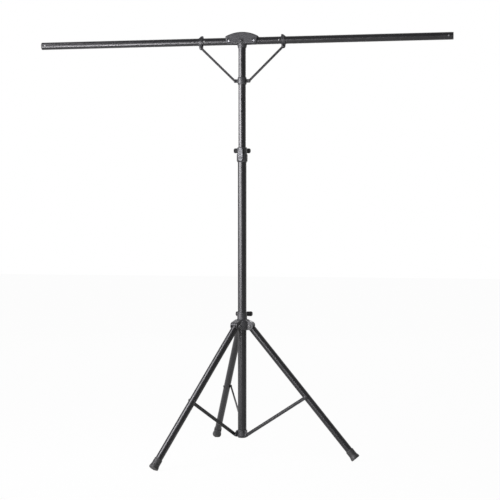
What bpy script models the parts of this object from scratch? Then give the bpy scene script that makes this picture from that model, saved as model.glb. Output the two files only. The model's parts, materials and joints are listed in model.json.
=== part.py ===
"""Light stand: a telescopic mast on a folding tripod, with a crossbar whose two arms fold down.

The stand is modelled open, at its real size, in metres. The origin is on the floor under the
mast. One leg points along +X, and the crossbar is turned a few degrees from it, as on a stand
that someone has set up. Each group of pieces that moves hangs on an empty on its joint's axis.
"""

import bpy
import bmesh
from math import cos, hypot, pi, radians, sin, tan
from mathutils import Matrix, Vector

mm = 0.001

# Fits
GAP = 0.3 * mm  # between pieces that touch
SWING_GAP = 0.4 * mm  # beside tubes that swing between cheeks

# Column: the lower tube of the mast
COLUMN_OD = 35 * mm
COLUMN_WALL = 1.5 * mm
COLUMN_FOOT_Z = 76 * mm
COLUMN_LENGTH = 1152 * mm
PLUG_LIP = 3 * mm
PLUG_DEPTH = 18 * mm
STOP_RIVET_Z = 495 * mm
STOP_RIVET_BEARING = radians(279)

# Mast: the upper tube, which slides and turns in the column
MAST_OD = 30 * mm
MAST_WALL = 1.5 * mm
MAST_LENGTH = 1185 * mm
GUIDE_BODY = 14 * mm
GUIDE_SPIGOT = 18 * mm
GUIDE_WALL = 3 * mm
PIN_HOLE_DROPS = (80 * mm, 238 * mm, 284 * mm)  # below the crossbar's axis
PIN_HOLE_RADIUS = 2.8 * mm

# Locking collar on the column's top
LOCK_BODY_OD = 44 * mm
LOCK_NECK_OD = 39 * mm
LOCK_SKIRT = 37 * mm  # how far the collar reaches down over the column
LOCK_NECK = 24 * mm  # how far it stands above the column
LOCK_LIP = 3 * mm
SLEEVE_WALL = 1.6 * mm
LOCK_PAD_BEARING = radians(268)
LOCK_PAD_WIDTH = 19 * mm
LOCK_PAD_MARGIN = 5 * mm  # from the collar's ends
LOCK_PAD_REACH = 23.4 * mm  # the pad's face, from the mast's axis
LOCK_PAD_EDGE = 0.8 * mm
LOCK_SCREW_DROP = 20 * mm  # below the column's top

# Clamp knobs
KNOB_SCREW_RADIUS = 4 * mm
KNOB_BOSS_RADIUS = 8 * mm
KNOB_BOSS_REACH = 28 * mm  # boss end, from the mast's axis
KNOB_BLADE_START = 53.5 * mm  # inner face of the handle, from the mast's axis
KNOB_BLADE_THICKNESS = 9 * mm
KNOB_SPAN = 70 * mm
KNOB_WING = 20 * mm  # the wings' height
KNOB_CORNER = 6 * mm
KNOB_WAIST = 17 * mm
KNOB_STEM_RADIUS = 9 * mm
KNOB_SCREW_GRIP = 20 * mm  # length of screw inside the knob
KNOB_POCKET_START = 12.5 * mm  # from the stem's axis
KNOB_POCKET_RIM = 3.2 * mm
KNOB_POCKET_DEPTH = 1.5 * mm
LOCK_KNOB_BEARING = radians(106)
LOCK_KNOB_RISE = 14 * mm  # above the column's top
HUB_KNOB_BEARING = radians(98)
HUB_KNOB_RISE = 19 * mm  # above the neck's foot

# Tripod legs
LEG_BEARINGS = (0, radians(120), radians(240))
LEG_OD = 28 * mm
LEG_WALL = 1.2 * mm
LEG_SPREAD = radians(40)  # from the vertical
LEG_PIVOT_R = 35 * mm
LEG_PIVOT_Z = 527 * mm
LEG_OVERHANG = 4 * mm  # tube above its pivot
PIVOT_SHANK_RADIUS = 3 * mm
PIVOT_HEAD_RADIUS = 6 * mm
PIVOT_HEAD_HEIGHT = 4 * mm
NUT_ACROSS_FLATS = 10 * mm
NUT_HEIGHT = 5 * mm

# Rubber feet
FOOT_SLEEVE = 36 * mm
FOOT_WALL = 2.4 * mm
FOOT_SOLE = 6 * mm
FOOT_FLARE = 2.2 * mm
FOOT_CHAMFER = 1.6 * mm
FOOT_WEAR = 1.6 * mm  # depth of the flat that stands on the floor

# Sliding hub
HUB_NECK_OD = 40 * mm
HUB_NECK = 29 * mm
HUB_DOME_OD = 66 * mm
HUB_BOTTOM_DROP = 15 * mm  # below the leg pivots
HUB_SHOULDER_RISE = 27 * mm  # neck's foot, above the leg pivots
FORK_CHEEK = 3.6 * mm
FORK_END_RADIUS = 15 * mm
FORK_ROOF = 2.4 * mm

# Braces between the column's foot and the legs
BRACE_ON_LEG = 364 * mm  # from the leg's pivot
BRACE_PIN_R = 22 * mm
BRACE_PIN_Z = 85 * mm
BRACE_WIDTH = 14 * mm
BRACE_THICKNESS = 3 * mm
BRACE_RIB_WIDTH = 5 * mm
BRACE_RIB_HEIGHT = 1.2 * mm
BRACE_RIB_MARGIN = 24 * mm
BRACE_SPACER = 1.2 * mm  # between leg and strap
BRACE_RIVET_RADIUS = 3 * mm
BRACE_RIVET_HEAD = 5.5 * mm
BRACE_RIVET_HEIGHT = 2.4 * mm
BRACE_COLLAR_OD = 42 * mm
BRACE_COLLAR_Z = 79 * mm
BRACE_COLLAR_HEIGHT = 25 * mm
BRACE_LUG_THICKNESS = 7.5 * mm
BRACE_LUG_RADIUS = 7.5 * mm
BRACE_PIN_DEPTH = 6 * mm
BRACE_SCREW_RISE = 19 * mm
BRACE_SCREW_BEARING = radians(300)

# Crossbar
BAR_BEARING = radians(6.5)
BAR_Z = 1682 * mm
BAR_REACH = 845 * mm  # tip of an arm from the mast's axis
ARM_OD = 30 * mm
ARM_WALL = 1.5 * mm
ARM_PIVOT_X = 51 * mm
ARM_OVERHANG = 12 * mm  # tube inboard of its pivot
CAP_LIP = 3.5 * mm
CAP_DEPTH = 16 * mm
CAP_WALL = 2 * mm
ARM_RIVET_INSET = 16 * mm  # inboard of the strut clamp

# Head that joins the arms and the mast
HEAD_HALF_WIDTH = 67 * mm
HEAD_FOOT_HALF_WIDTH = 62 * mm
HEAD_TOP = 35 * mm
HEAD_SHOULDER = 18 * mm
HEAD_BOTTOM = 13 * mm
HEAD_CHEEK = 5 * mm
HEAD_ROOF = 2.5 * mm
HEAD_CORNER = 11 * mm
HEAD_EDGE = 4.5 * mm  # rounding of the rim
HEAD_PARTING = 0.15 * mm  # from the middle to each shell
MAST_INTO_HEAD = 8 * mm  # above the crossbar's axis
SOCKET_DROP = 28 * mm
SOCKET_FOOT_WALL = 1.8 * mm
SOCKET_WALL = 5 * mm
HEAD_BOSS_RADIUS = 10 * mm
HEAD_BOSS_HEIGHT = 1.6 * mm
COUNTERBORE_RADIUS = 7.2 * mm
COUNTERBORE_DEPTH = 2 * mm
HEAD_BOLT_RADIUS = 3 * mm
HEAD_BOLT_HEAD = 5 * mm
HEAD_BOLT_HEIGHT = 2.6 * mm

# Struts under the crossbar
STRUT_PIN_X = 169 * mm
STRUT_PIN_DROP = 24.5 * mm  # below the arm's axis
STRUT_WIDTH = 9.5 * mm
STRUT_THICKNESS = 3 * mm
EAR_THICKNESS = 4 * mm
STRUT_PIN_RADIUS = 2.5 * mm
STRUT_PIN_HEAD = 4.2 * mm
STRUT_PIN_HEIGHT = 2 * mm
CLAMP_WALL = 3 * mm
CLAMP_WIDTH = 19 * mm
CLAMP_LEAN = radians(12)
CLAMP_PEAK = 9.5 * mm  # above the tube
CLAMP_PEAK_THICKNESS = 11 * mm
CLAMP_EAR_RADIUS = 8 * mm
STRUT_COLLAR_OD = 37 * mm
STRUT_COLLAR_HEIGHT = 30 * mm
STRUT_COLLAR_DROP = 161 * mm  # below the crossbar's axis
STRUT_COLLAR_PIN_R = 29.5 * mm
COLLAR_EAR_REACH = 34.5 * mm
COLLAR_EAR_HEIGHT = 14.5 * mm
COLLAR_SCREW_RADIUS = 2.5 * mm

# Facets
TUBE_SIDES = 24
SMALL_SIDES = 12
SHARP_ANGLE = radians(32)
WELD = 0.001 * mm

ALONG_X = Matrix.Rotation(pi / 2, 4, "Y")
ALONG_Y = Matrix.Rotation(-pi / 2, 4, "X")
TURNED_ROUND = Matrix.Rotation(pi, 4, "X")
UP = Vector((0, 0, 1))
WORLD_PLACE = {}


def finish(name, colour, roughness, metallic):
    """A Principled material of one colour."""
    material = bpy.data.materials.new(name)
    material.use_nodes = True
    shader = material.node_tree.nodes["Principled BSDF"]
    shader.inputs["Base Color"].default_value = (*colour, 1)
    shader.inputs["Roughness"].default_value = roughness
    shader.inputs["Metallic"].default_value = metallic
    return material


def frame(origin, x, z):
    """A place whose X and Z run along the given directions."""
    x, z = Vector(x).normalized(), Vector(z).normalized()
    turned_to = Matrix((x, z.cross(x), z)).transposed().to_4x4()
    return Matrix.Translation(origin) @ turned_to


def upright_plane(bearing, height=0):
    """A place to draw side views in: X points away from the mast, Y up, Z across."""
    out = Vector((cos(bearing), sin(bearing), 0))
    return frame((0, 0, height), out, out.cross(UP))


def outward(bearing, height, distance=0):
    """A place whose Z points away from the mast, with X up."""
    out = Vector((cos(bearing), sin(bearing), 0))
    return frame(out * distance + UP * height, UP, out)


def in_plane(x, y, direction):
    """A place within a side view, with Z along a direction there and Y across the view."""
    across = Vector((0, 0, 1))
    along = Vector((*direction, 0))
    return frame((x, y, 0), across.cross(along), along)


def attach(thing, place, carrier):
    """Stand a thing at a place in the world, carried by an empty if there is one."""
    if carrier:
        thing.parent = carrier
        place_on_carrier = WORLD_PLACE[carrier.name].inverted() @ place
    else:
        place_on_carrier = place
    thing.matrix_basis = place_on_carrier
    WORLD_PLACE[thing.name] = place


def pivot(name, place, carrier=None):
    """An empty on a joint's axis, for the pieces that move about it."""
    empty = bpy.data.objects.new(name, None)
    bpy.context.scene.collection.objects.link(empty)
    attach(empty, place, carrier)
    return empty


def piece(name, mesh, material, place, carrier=None):
    """One solid of the stand."""
    data = bpy.data.meshes.new(name)
    mesh.to_mesh(data)
    mesh.free()
    data.materials.append(material)
    data.shade_smooth()
    data.set_sharp_from_angle(angle=SHARP_ANGLE)
    thing = bpy.data.objects.new(name, data)
    bpy.context.scene.collection.objects.link(thing)
    attach(thing, place, carrier)
    return thing


def combine(thing, operation, *tools):
    """Join tools to a piece or cut them from it. Tools are meshes in the piece's own place."""
    for tool in tools:
        number = len(thing.modifiers) + 1
        data = bpy.data.meshes.new(f"{thing.name}_tool_{number}")
        tool.to_mesh(data)
        tool.free()
        shape = bpy.data.objects.new(data.name, data)
        bpy.context.scene.collection.objects.link(shape)
        shape.hide_render = True
        shape.display_type = "WIRE"
        attach(shape, WORLD_PLACE[thing.name], thing)
        step = thing.modifiers.new(f"{operation.lower()}_{number}", "BOOLEAN")
        step.operation = operation
        step.solver = "EXACT"
        step.object = shape


def turned(profile, sides, ring=False, at=None):
    """Revolve (radius, height) points about Z. A ring's profile closes on itself."""
    mesh = bmesh.new()
    verts = [mesh.verts.new((radius, 0, height)) for radius, height in profile]
    edges = [mesh.edges.new(ends) for ends in zip(verts, verts[1:])]
    if ring:
        edges.append(mesh.edges.new((verts[-1], verts[0])))
    bmesh.ops.spin(
        mesh, geom=verts + edges, axis=UP, angle=2 * pi, steps=sides, use_merge=True
    )
    bmesh.ops.remove_doubles(mesh, verts=mesh.verts, dist=WELD)
    bmesh.ops.recalc_face_normals(mesh, faces=mesh.faces)
    mesh.transform(at or Matrix())
    return mesh


def cylinder(radius, low, high, sides=SMALL_SIDES, at=None):
    """A plain round solid."""
    return turned([(0, low), (radius, low), (radius, high), (0, high)], sides, at=at)


def drill(profile, sides=SMALL_SIDES, at=None):
    """A stepped hole's tool. Its facets lie half a step off a turned piece's."""
    half_step = Matrix.Rotation(pi / sides, 4, "Z")
    return turned(profile, sides, at=(at or Matrix()) @ half_step)


def hole(radius, low, high, sides=SMALL_SIDES, at=None):
    """A plain round hole's tool."""
    return drill([(0, low), (radius, low), (radius, high), (0, high)], sides, at=at)


def tube(outer_radius, wall, low, high):
    """A round tube along Z."""
    bore = outer_radius - wall
    corners = [(outer_radius, low), (outer_radius, high), (bore, high), (bore, low)]
    return turned(corners, TUBE_SIDES, ring=True)


def dome(radius, height, base, steps=2):
    """Profile points of a rivet's or bolt's low round head, from its rim to the axis."""
    rim = height * 0.3
    points = [(radius, base)]
    for step in range(steps + 1):
        angle = pi / 2 * step / steps
        points.append((radius * cos(angle), base + rim + (height - rim) * sin(angle)))
    return points[:-1] + [(0, base + height)]


def rivet(radius, grip, head_radius, head_height, tail_radius=0, tail_height=0, at=None):
    """A round head on Z = 0, a shank down to -grip, and a tail under it if one is given."""
    tail = [(0, -grip)]
    if tail_radius:
        flipped = [(r, -z) for r, z in dome(tail_radius, tail_height, grip)]
        tail = flipped[::-1]
    profile = tail + [(radius, -grip), (radius, 0)] + dome(head_radius, head_height, 0)
    return turned(profile, SMALL_SIDES, at=at)


def arc(x, y, radius, start, end, steps):
    """Points on a round stretch of an outline."""
    angles = [start + (end - start) * step / steps for step in range(steps + 1)]
    return [(x + radius * cos(angle), y + radius * sin(angle)) for angle in angles]


def rounded(corners, steps=4):
    """An outline whose corners, each (x, y, radius), are turned by arcs."""
    points = []
    for number, (x, y, radius) in enumerate(corners):
        here = Vector((x, y))
        if not radius:
            points.append((x, y))
            continue
        back = (Vector(corners[number - 1][:2]) - here).normalized()
        ahead = (Vector(corners[(number + 1) % len(corners)][:2]) - here).normalized()
        half = back.angle(ahead) / 2
        middle = here + (back + ahead).normalized() * (radius / sin(half))
        first = here + back * (radius / tan(half)) - middle
        last = here + ahead * (radius / tan(half)) - middle
        start = Vector((1, 0)).angle_signed(first) * -1
        turn = (Vector((1, 0)).angle_signed(last) * -1 - start + pi) % (2 * pi) - pi
        points += arc(middle.x, middle.y, radius, start, start + turn, steps)
    return points


def plate(outline, low, high, holes=(), edge=0, at=None):
    """An outline from Z = low to high. Holes are (x, y, radius); edge rounds the high rim."""
    mesh = bmesh.new()
    rings = [outline]
    rings += [arc(x, y, r, 0, 2 * pi, SMALL_SIDES)[:-1] for x, y, r in holes]
    for ring in rings:
        verts = [mesh.verts.new((x, y, low)) for x, y in ring]
        if holes:
            for ends in zip(verts, verts[1:] + verts[:1]):
                mesh.edges.new(ends)
        else:
            mesh.faces.new(verts)
    if holes:
        bmesh.ops.triangle_fill(mesh, edges=mesh.edges, use_beauty=True, normal=UP)
    grown = bmesh.ops.extrude_face_region(mesh, geom=mesh.faces)["geom"]
    top = [item for item in grown if isinstance(item, bmesh.types.BMVert)]
    bmesh.ops.translate(mesh, verts=top, vec=(0, 0, high - low))
    bmesh.ops.recalc_face_normals(mesh, faces=mesh.faces)
    if edge:
        rim = [line for line in mesh.edges if all(vert in top for vert in line.verts)]
        bmesh.ops.bevel(
            mesh, geom=rim, offset=edge, segments=2, profile=0.5, affect="EDGES"
        )
    mesh.transform(at or Matrix())
    return mesh


def halved(mesh, distance):
    """Keep what lies beyond Z = distance, and close the cut."""
    bmesh.ops.bisect_plane(
        mesh,
        geom=mesh.verts[:] + mesh.edges[:] + mesh.faces[:],
        plane_co=(0, 0, distance),
        plane_no=UP,
        clear_inner=True,
    )
    open_edges = [edge for edge in mesh.edges if edge.is_boundary]
    bmesh.ops.holes_fill(mesh, edges=open_edges)
    bmesh.ops.recalc_face_normals(mesh, faces=mesh.faces)
    return mesh


def slotted_bar(length, width):
    """The outline of a flat bar with round ends about (0, 0) and (length, 0)."""
    end = arc(length, 0, width / 2, -pi / 2, pi / 2, 6)
    return end + arc(0, 0, width / 2, pi / 2, 3 * pi / 2, 6)


def build_column(steel, plastic, black, zinc):
    """The lower tube, its plug, the rivet under the hub, and the locking collar on top."""
    radius = COLUMN_OD / 2
    top = COLUMN_FOOT_Z + COLUMN_LENGTH
    lower_tube = piece(
        "lower_tube",
        tube(radius, COLUMN_WALL, 0, COLUMN_LENGTH),
        steel,
        Matrix.Translation((0, 0, COLUMN_FOOT_Z)),
    )
    to_floor = Matrix.Translation((0, 0, -COLUMN_FOOT_Z))
    stop_place = outward(STOP_RIVET_BEARING, STOP_RIVET_Z)
    lock_screw_place = outward(LOCK_PAD_BEARING, top - LOCK_SCREW_DROP)
    combine(
        lower_tube,
        "DIFFERENCE",
        hole(BRACE_RIVET_RADIUS + GAP, 0, COLUMN_OD, at=to_floor @ stop_place),
        hole(COLLAR_SCREW_RADIUS + GAP, 0, COLUMN_OD, at=to_floor @ lock_screw_place),
    )
    stop_grip = COLUMN_WALL
    piece(
        "hub_stop_rivet",
        rivet(BRACE_RIVET_RADIUS, stop_grip, BRACE_RIVET_HEAD, BRACE_RIVET_HEIGHT),
        black,
        outward(STOP_RIVET_BEARING, STOP_RIVET_Z, radius + GAP),
    )

    bore = radius - COLUMN_WALL
    plug = [
        (0, -PLUG_LIP),
        (radius - PLUG_LIP / 2, -PLUG_LIP),
        (radius, -PLUG_LIP / 2),
        (radius, -GAP),
        (bore - GAP, -GAP),
        (bore - GAP, PLUG_DEPTH),
        (bore - CAP_WALL, PLUG_DEPTH),
        (bore - CAP_WALL, 0),
        (0, 0),
    ]
    piece(
        "lower_tube_plug",
        turned(plug, TUBE_SIDES),
        plastic,
        Matrix.Translation((0, 0, COLUMN_FOOT_Z)),
    )

    build_lock_collar(top, lock_screw_place, plastic, zinc)


def build_lock_collar(top, screw_place, plastic, zinc):
    """A moulded collar that clamps the upper tube: skirt, neck, boss, pad and inner sleeve."""
    body, neck = LOCK_BODY_OD / 2, LOCK_NECK_OD / 2
    seat = COLUMN_OD / 2 + GAP
    mast = MAST_OD / 2
    sleeve_outer = mast + GAP + SLEEVE_WALL
    taper = (body - seat) * 1.6
    outer = [
        (0, -LOCK_SKIRT),
        (seat + (body - seat) * 0.2, -LOCK_SKIRT),
        (body, -LOCK_SKIRT + taper),
        (body, -LOCK_LIP * 1.6),
        (neck, -LOCK_LIP * 0.7),
        (neck, LOCK_NECK - LOCK_LIP / 2),
        (neck - LOCK_LIP / 3, LOCK_NECK),
        (0, LOCK_NECK),
    ]
    hollow = [
        (0, -LOCK_SKIRT - LOCK_LIP),
        (seat, -LOCK_SKIRT - LOCK_LIP),
        (seat, GAP),
        (sleeve_outer + GAP, GAP),
        (sleeve_outer + GAP, LOCK_NECK - LOCK_LIP),
        (mast + GAP, LOCK_NECK - LOCK_LIP),
        (mast + GAP, LOCK_NECK + LOCK_LIP),
        (0, LOCK_NECK + LOCK_LIP),
    ]
    collar_place = Matrix.Translation((0, 0, top))
    to_collar = collar_place.inverted()
    collar = piece("lock_collar", turned(outer, TUBE_SIDES), plastic, collar_place)
    knob_axis = to_collar @ outward(LOCK_KNOB_BEARING, top + LOCK_KNOB_RISE)
    pad_low, pad_high = LOCK_PAD_MARGIN - LOCK_SKIRT, LOCK_NECK - LOCK_PAD_MARGIN
    pad_half = LOCK_PAD_WIDTH / 2
    pad_corner = pad_half * 0.8
    pad_outline = rounded(
        [
            (pad_low, -pad_half, pad_corner),
            (pad_high, -pad_half, pad_corner),
            (pad_high, pad_half, pad_corner),
            (pad_low, pad_half, pad_corner),
        ]
    )
    pad_place = outward(LOCK_PAD_BEARING, 0)
    pad = plate(pad_outline, mast, LOCK_PAD_REACH, edge=LOCK_PAD_EDGE, at=pad_place)
    boss = cylinder(KNOB_BOSS_RADIUS, mast, KNOB_BOSS_REACH, at=knob_axis)
    combine(collar, "UNION", boss, pad)
    combine(
        collar,
        "DIFFERENCE",
        drill(hollow, TUBE_SIDES),
        hole(KNOB_SCREW_RADIUS + GAP, mast, KNOB_BOSS_REACH * 2, at=knob_axis),
        hole(COLLAR_SCREW_RADIUS + GAP, mast, body * 2, at=to_collar @ screw_place),
    )
    sleeve_height = LOCK_NECK - LOCK_LIP - GAP
    piece(
        "lock_sleeve",
        tube(sleeve_outer, SLEEVE_WALL, GAP * 2, sleeve_height),
        plastic,
        collar_place,
    )
    screw_grip = LOCK_PAD_REACH + GAP - (COLUMN_OD / 2 - COLUMN_WALL)
    piece(
        "lock_collar_screw",
        rivet(COLLAR_SCREW_RADIUS, screw_grip, STRUT_PIN_HEAD, STRUT_PIN_HEIGHT),
        zinc,
        screw_place @ Matrix.Translation((0, 0, LOCK_PAD_REACH + GAP)),
    )
    build_knob(
        "lock_knob", LOCK_KNOB_BEARING, top + LOCK_KNOB_RISE, sleeve_outer + GAP, plastic, zinc
    )


def build_knob(name, bearing, height, tip, plastic, zinc, carrier=None):
    """A T-shaped clamp knob: a bow-tie handle on a stem, and the screw that it turns."""
    place = outward(bearing, height)
    axis = pivot(f"{name}_axis", place, carrier)
    blade_end = KNOB_BLADE_START + KNOB_BLADE_THICKNESS
    stem_start = KNOB_BOSS_REACH + GAP
    side, far = KNOB_WING / 2 - KNOB_CORNER, KNOB_SPAN / 2 - KNOB_CORNER
    waist = KNOB_WAIST / 2
    outline = arc(side, far, KNOB_CORNER, 0, pi / 2, 5)
    outline += arc(-side, far, KNOB_CORNER, pi / 2, pi, 5)
    outline += [(-waist, 0)]
    outline += arc(-side, -far, KNOB_CORNER, pi, 3 * pi / 2, 5)
    outline += arc(side, -far, KNOB_CORNER, 3 * pi / 2, 2 * pi, 5)
    outline += [(waist, 0)]
    handle = piece(name, plate(outline, KNOB_BLADE_START, blade_end), plastic, place, axis)
    soften = handle.modifiers.new("soft_edges", "BEVEL")
    soften.width = KNOB_BLADE_THICKNESS / 4
    soften.segments = 2
    soften.limit_method = "ANGLE"
    soften.angle_limit = radians(60)
    stem = [
        (0, stem_start),
        (KNOB_STEM_RADIUS, stem_start),
        (KNOB_STEM_RADIUS * 0.8, KNOB_BLADE_START - 2 * mm),
        (KNOB_STEM_RADIUS, KNOB_BLADE_START + 2 * mm),
        (KNOB_STEM_RADIUS * 0.7, blade_end + 1 * mm),
        (0, blade_end + 1 * mm),
    ]
    combine(handle, "UNION", turned(stem, SMALL_SIDES))
    widening = (KNOB_WING / 2 - waist) * KNOB_POCKET_START / far
    root = waist + widening - KNOB_POCKET_RIM
    pocket = arc(side, far, KNOB_CORNER - KNOB_POCKET_RIM, 0, pi / 2, 4)
    pocket += arc(-side, far, KNOB_CORNER - KNOB_POCKET_RIM, pi / 2, pi, 4)
    pocket += [(-root, KNOB_POCKET_START), (root, KNOB_POCKET_START)]
    depth = KNOB_POCKET_DEPTH
    for face in (KNOB_BLADE_START, blade_end):
        for turn in (0, pi):
            wing = Matrix.Rotation(turn, 4, "Z")
            combine(handle, "DIFFERENCE", plate(pocket, face - depth, face + depth, at=wing))
    screw_end = stem_start + KNOB_SCREW_GRIP
    combine(handle, "DIFFERENCE", hole(KNOB_SCREW_RADIUS + GAP, tip, screw_end + GAP))
    point = KNOB_SCREW_RADIUS * 0.6
    screw = [
        (0, tip),
        (point, tip),
        (KNOB_SCREW_RADIUS, tip + KNOB_SCREW_RADIUS - point),
        (KNOB_SCREW_RADIUS, screw_end),
        (0, screw_end),
    ]
    piece(f"{name}_screw", turned(screw, SMALL_SIDES), zinc, place, axis)


def build_hub(plastic, zinc):
    """The moulded hub that slides on the column: neck, dome and three forks for the legs."""
    neck_foot = LEG_PIVOT_Z + HUB_SHOULDER_RISE
    bottom = LEG_PIVOT_Z - HUB_BOTTOM_DROP
    top = neck_foot + HUB_NECK
    neck, dome_radius = HUB_NECK_OD / 2, HUB_DOME_OD / 2
    bore = COLUMN_OD / 2 + GAP
    edge = 1.5 * mm
    outer = [
        (0, bottom),
        (dome_radius - edge * 2, bottom),
        (dome_radius, bottom + edge * 2),
        (dome_radius, LEG_PIVOT_Z + FORK_END_RADIUS * 0.7),
        (dome_radius - edge * 2, neck_foot - HUB_SHOULDER_RISE * 0.3),
        (neck + edge, neck_foot),
        (neck, neck_foot + edge),
        (neck, top - edge),
        (neck - edge / 2, top),
        (0, top),
    ]
    carrier = pivot("hub_slide", Matrix.Translation((0, 0, LEG_PIVOT_Z)))
    hub = piece("hub", turned(outer, TUBE_SIDES), plastic, Matrix(), carrier)

    swing = hypot(LEG_OD / 2, LEG_OVERHANG) + SWING_GAP
    slot_half = LEG_OD / 2 + SWING_GAP
    fork_half = slot_half + FORK_CHEEK
    shoulder = LEG_PIVOT_Z + swing + FORK_ROOF
    far = LEG_PIVOT_R + 3 * FORK_END_RADIUS
    below = bottom - FORK_END_RADIUS
    side_view = arc(LEG_PIVOT_R, LEG_PIVOT_Z, FORK_END_RADIUS, -pi / 2, 0, 6)
    side_view += [
        (LEG_PIVOT_R + FORK_END_RADIUS, LEG_PIVOT_Z + swing * 0.5),
        (LEG_PIVOT_R + FORK_END_RADIUS * 0.75, shoulder - FORK_ROOF),
        (LEG_PIVOT_R + FORK_END_RADIUS * 0.4, shoulder),
        (neck, neck_foot),
        (bore / 2, neck_foot),
        (bore / 2, bottom),
    ]
    open_to = Vector((cos(LEG_SPREAD), sin(LEG_SPREAD))) * swing
    down_leg = Vector((sin(LEG_SPREAD), -cos(LEG_SPREAD)))
    lip = Vector((LEG_PIVOT_R, LEG_PIVOT_Z)) + open_to + down_leg * FORK_END_RADIUS * 3
    slot_view = arc(LEG_PIVOT_R, LEG_PIVOT_Z, swing, pi, LEG_SPREAD, 10)
    slot_view += [
        tuple(lip),
        (far + FORK_END_RADIUS, below),
        (LEG_PIVOT_R - swing, below),
    ]
    planes = [upright_plane(bearing) for bearing in LEG_BEARINGS]
    combine(hub, "UNION", *[plate(side_view, -fork_half, fork_half, at=p) for p in planes])
    knob_axis = outward(HUB_KNOB_BEARING, neck_foot + HUB_KNOB_RISE)
    combine(hub, "UNION", cylinder(KNOB_BOSS_RADIUS, bore / 2, KNOB_BOSS_REACH, at=knob_axis))
    combine(hub, "DIFFERENCE", hole(bore, below, top * 2, TUBE_SIDES))
    combine(hub, "DIFFERENCE", *[plate(slot_view, -slot_half, slot_half, at=p) for p in planes])
    bolt_hole = PIVOT_SHANK_RADIUS + GAP
    at_pivot = Matrix.Translation((LEG_PIVOT_R, LEG_PIVOT_Z, 0))
    for plane in planes:
        bolt_way = hole(bolt_hole, -fork_half * 2, fork_half * 2, at=plane @ at_pivot)
        combine(hub, "DIFFERENCE", bolt_way)
    screw_way = hole(KNOB_SCREW_RADIUS + GAP, bore / 2, KNOB_BOSS_REACH * 2, at=knob_axis)
    combine(hub, "DIFFERENCE", screw_way)

    for number, plane in enumerate(planes, 1):
        grip = 2 * (fork_half + GAP)
        bolt = piece(
            f"leg_bolt_{number}",
            rivet(PIVOT_SHANK_RADIUS, grip + NUT_HEIGHT + 2 * mm, PIVOT_HEAD_RADIUS, PIVOT_HEAD_HEIGHT),
            zinc,
            plane @ at_pivot @ Matrix.Translation((0, 0, fork_half + GAP)),
            carrier,
        )
        corner = NUT_ACROSS_FLATS / 2 / cos(pi / 6)
        nut = plate(arc(0, 0, corner, 0, 2 * pi, 6)[:-1], -grip - NUT_HEIGHT, -grip)
        combine(bolt, "UNION", nut)
    build_knob(
        "hub_knob",
        HUB_KNOB_BEARING,
        neck_foot + HUB_KNOB_RISE,
        COLUMN_OD / 2 + GAP,
        plastic,
        zinc,
        carrier,
    )
    return carrier


def build_leg(number, bearing, hub, steel, rubber, black):
    """A leg tube with its rubber foot, and the bolt that holds its brace."""
    plane = upright_plane(bearing)
    down = (sin(LEG_SPREAD), -cos(LEG_SPREAD))
    place = plane @ in_plane(LEG_PIVOT_R, LEG_PIVOT_Z, down)
    axis = pivot(f"leg_{number}_pivot", place, hub)
    radius = LEG_OD / 2
    foot_radius = radius + GAP + FOOT_WALL + FOOT_FLARE
    edge_radius = foot_radius - FOOT_CHAMFER
    tip = (LEG_PIVOT_Z + FOOT_WEAR - edge_radius * sin(LEG_SPREAD)) / cos(LEG_SPREAD)
    end = tip - FOOT_SOLE - GAP
    leg = piece(
        f"leg_tube_{number}", tube(radius, LEG_WALL, -LEG_OVERHANG, end), steel, place, axis
    )
    through = Matrix.Translation((0, 0, BRACE_ON_LEG)) @ ALONG_Y
    combine(
        leg,
        "DIFFERENCE",
        hole(PIVOT_SHANK_RADIUS + GAP, -LEG_OD, LEG_OD, at=ALONG_Y),
        hole(BRACE_RIVET_RADIUS + GAP, -LEG_OD, LEG_OD, at=through),
    )
    build_foot(number, tip, end, place, axis, rubber)
    head_side = Matrix.Translation((0, -radius - GAP, BRACE_ON_LEG)) @ ALONG_Y @ TURNED_ROUND
    piece(
        f"leg_brace_bolt_{number}",
        rivet(BRACE_RIVET_RADIUS, LEG_OD, BRACE_RIVET_HEAD, BRACE_RIVET_HEIGHT),
        black,
        place @ head_side,
        axis,
    )


def build_foot(number, tip, end, place, axis, rubber):
    """A rubber boot over the leg's end, flared at the sole and worn flat where it stands."""
    bore = LEG_OD / 2 + GAP
    sleeve = bore + FOOT_WALL
    flare = sleeve + FOOT_FLARE
    boot = [
        (0, end + GAP),
        (bore, end + GAP),
        (bore, end - FOOT_SLEEVE),
        (sleeve, end - FOOT_SLEEVE),
        (sleeve, end - FOOT_SOLE),
        (flare, end + FOOT_SOLE / 3),
        (flare, tip - FOOT_CHAMFER),
        (flare - FOOT_CHAMFER, tip),
        (0, tip),
    ]
    foot = piece(f"foot_{number}", turned(boot, TUBE_SIDES), rubber, place, axis)
    width = FOOT_SLEEVE
    floor_block = hole(width * 20, -width, 0, at=place.inverted())
    combine(foot, "DIFFERENCE", floor_block)


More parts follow.
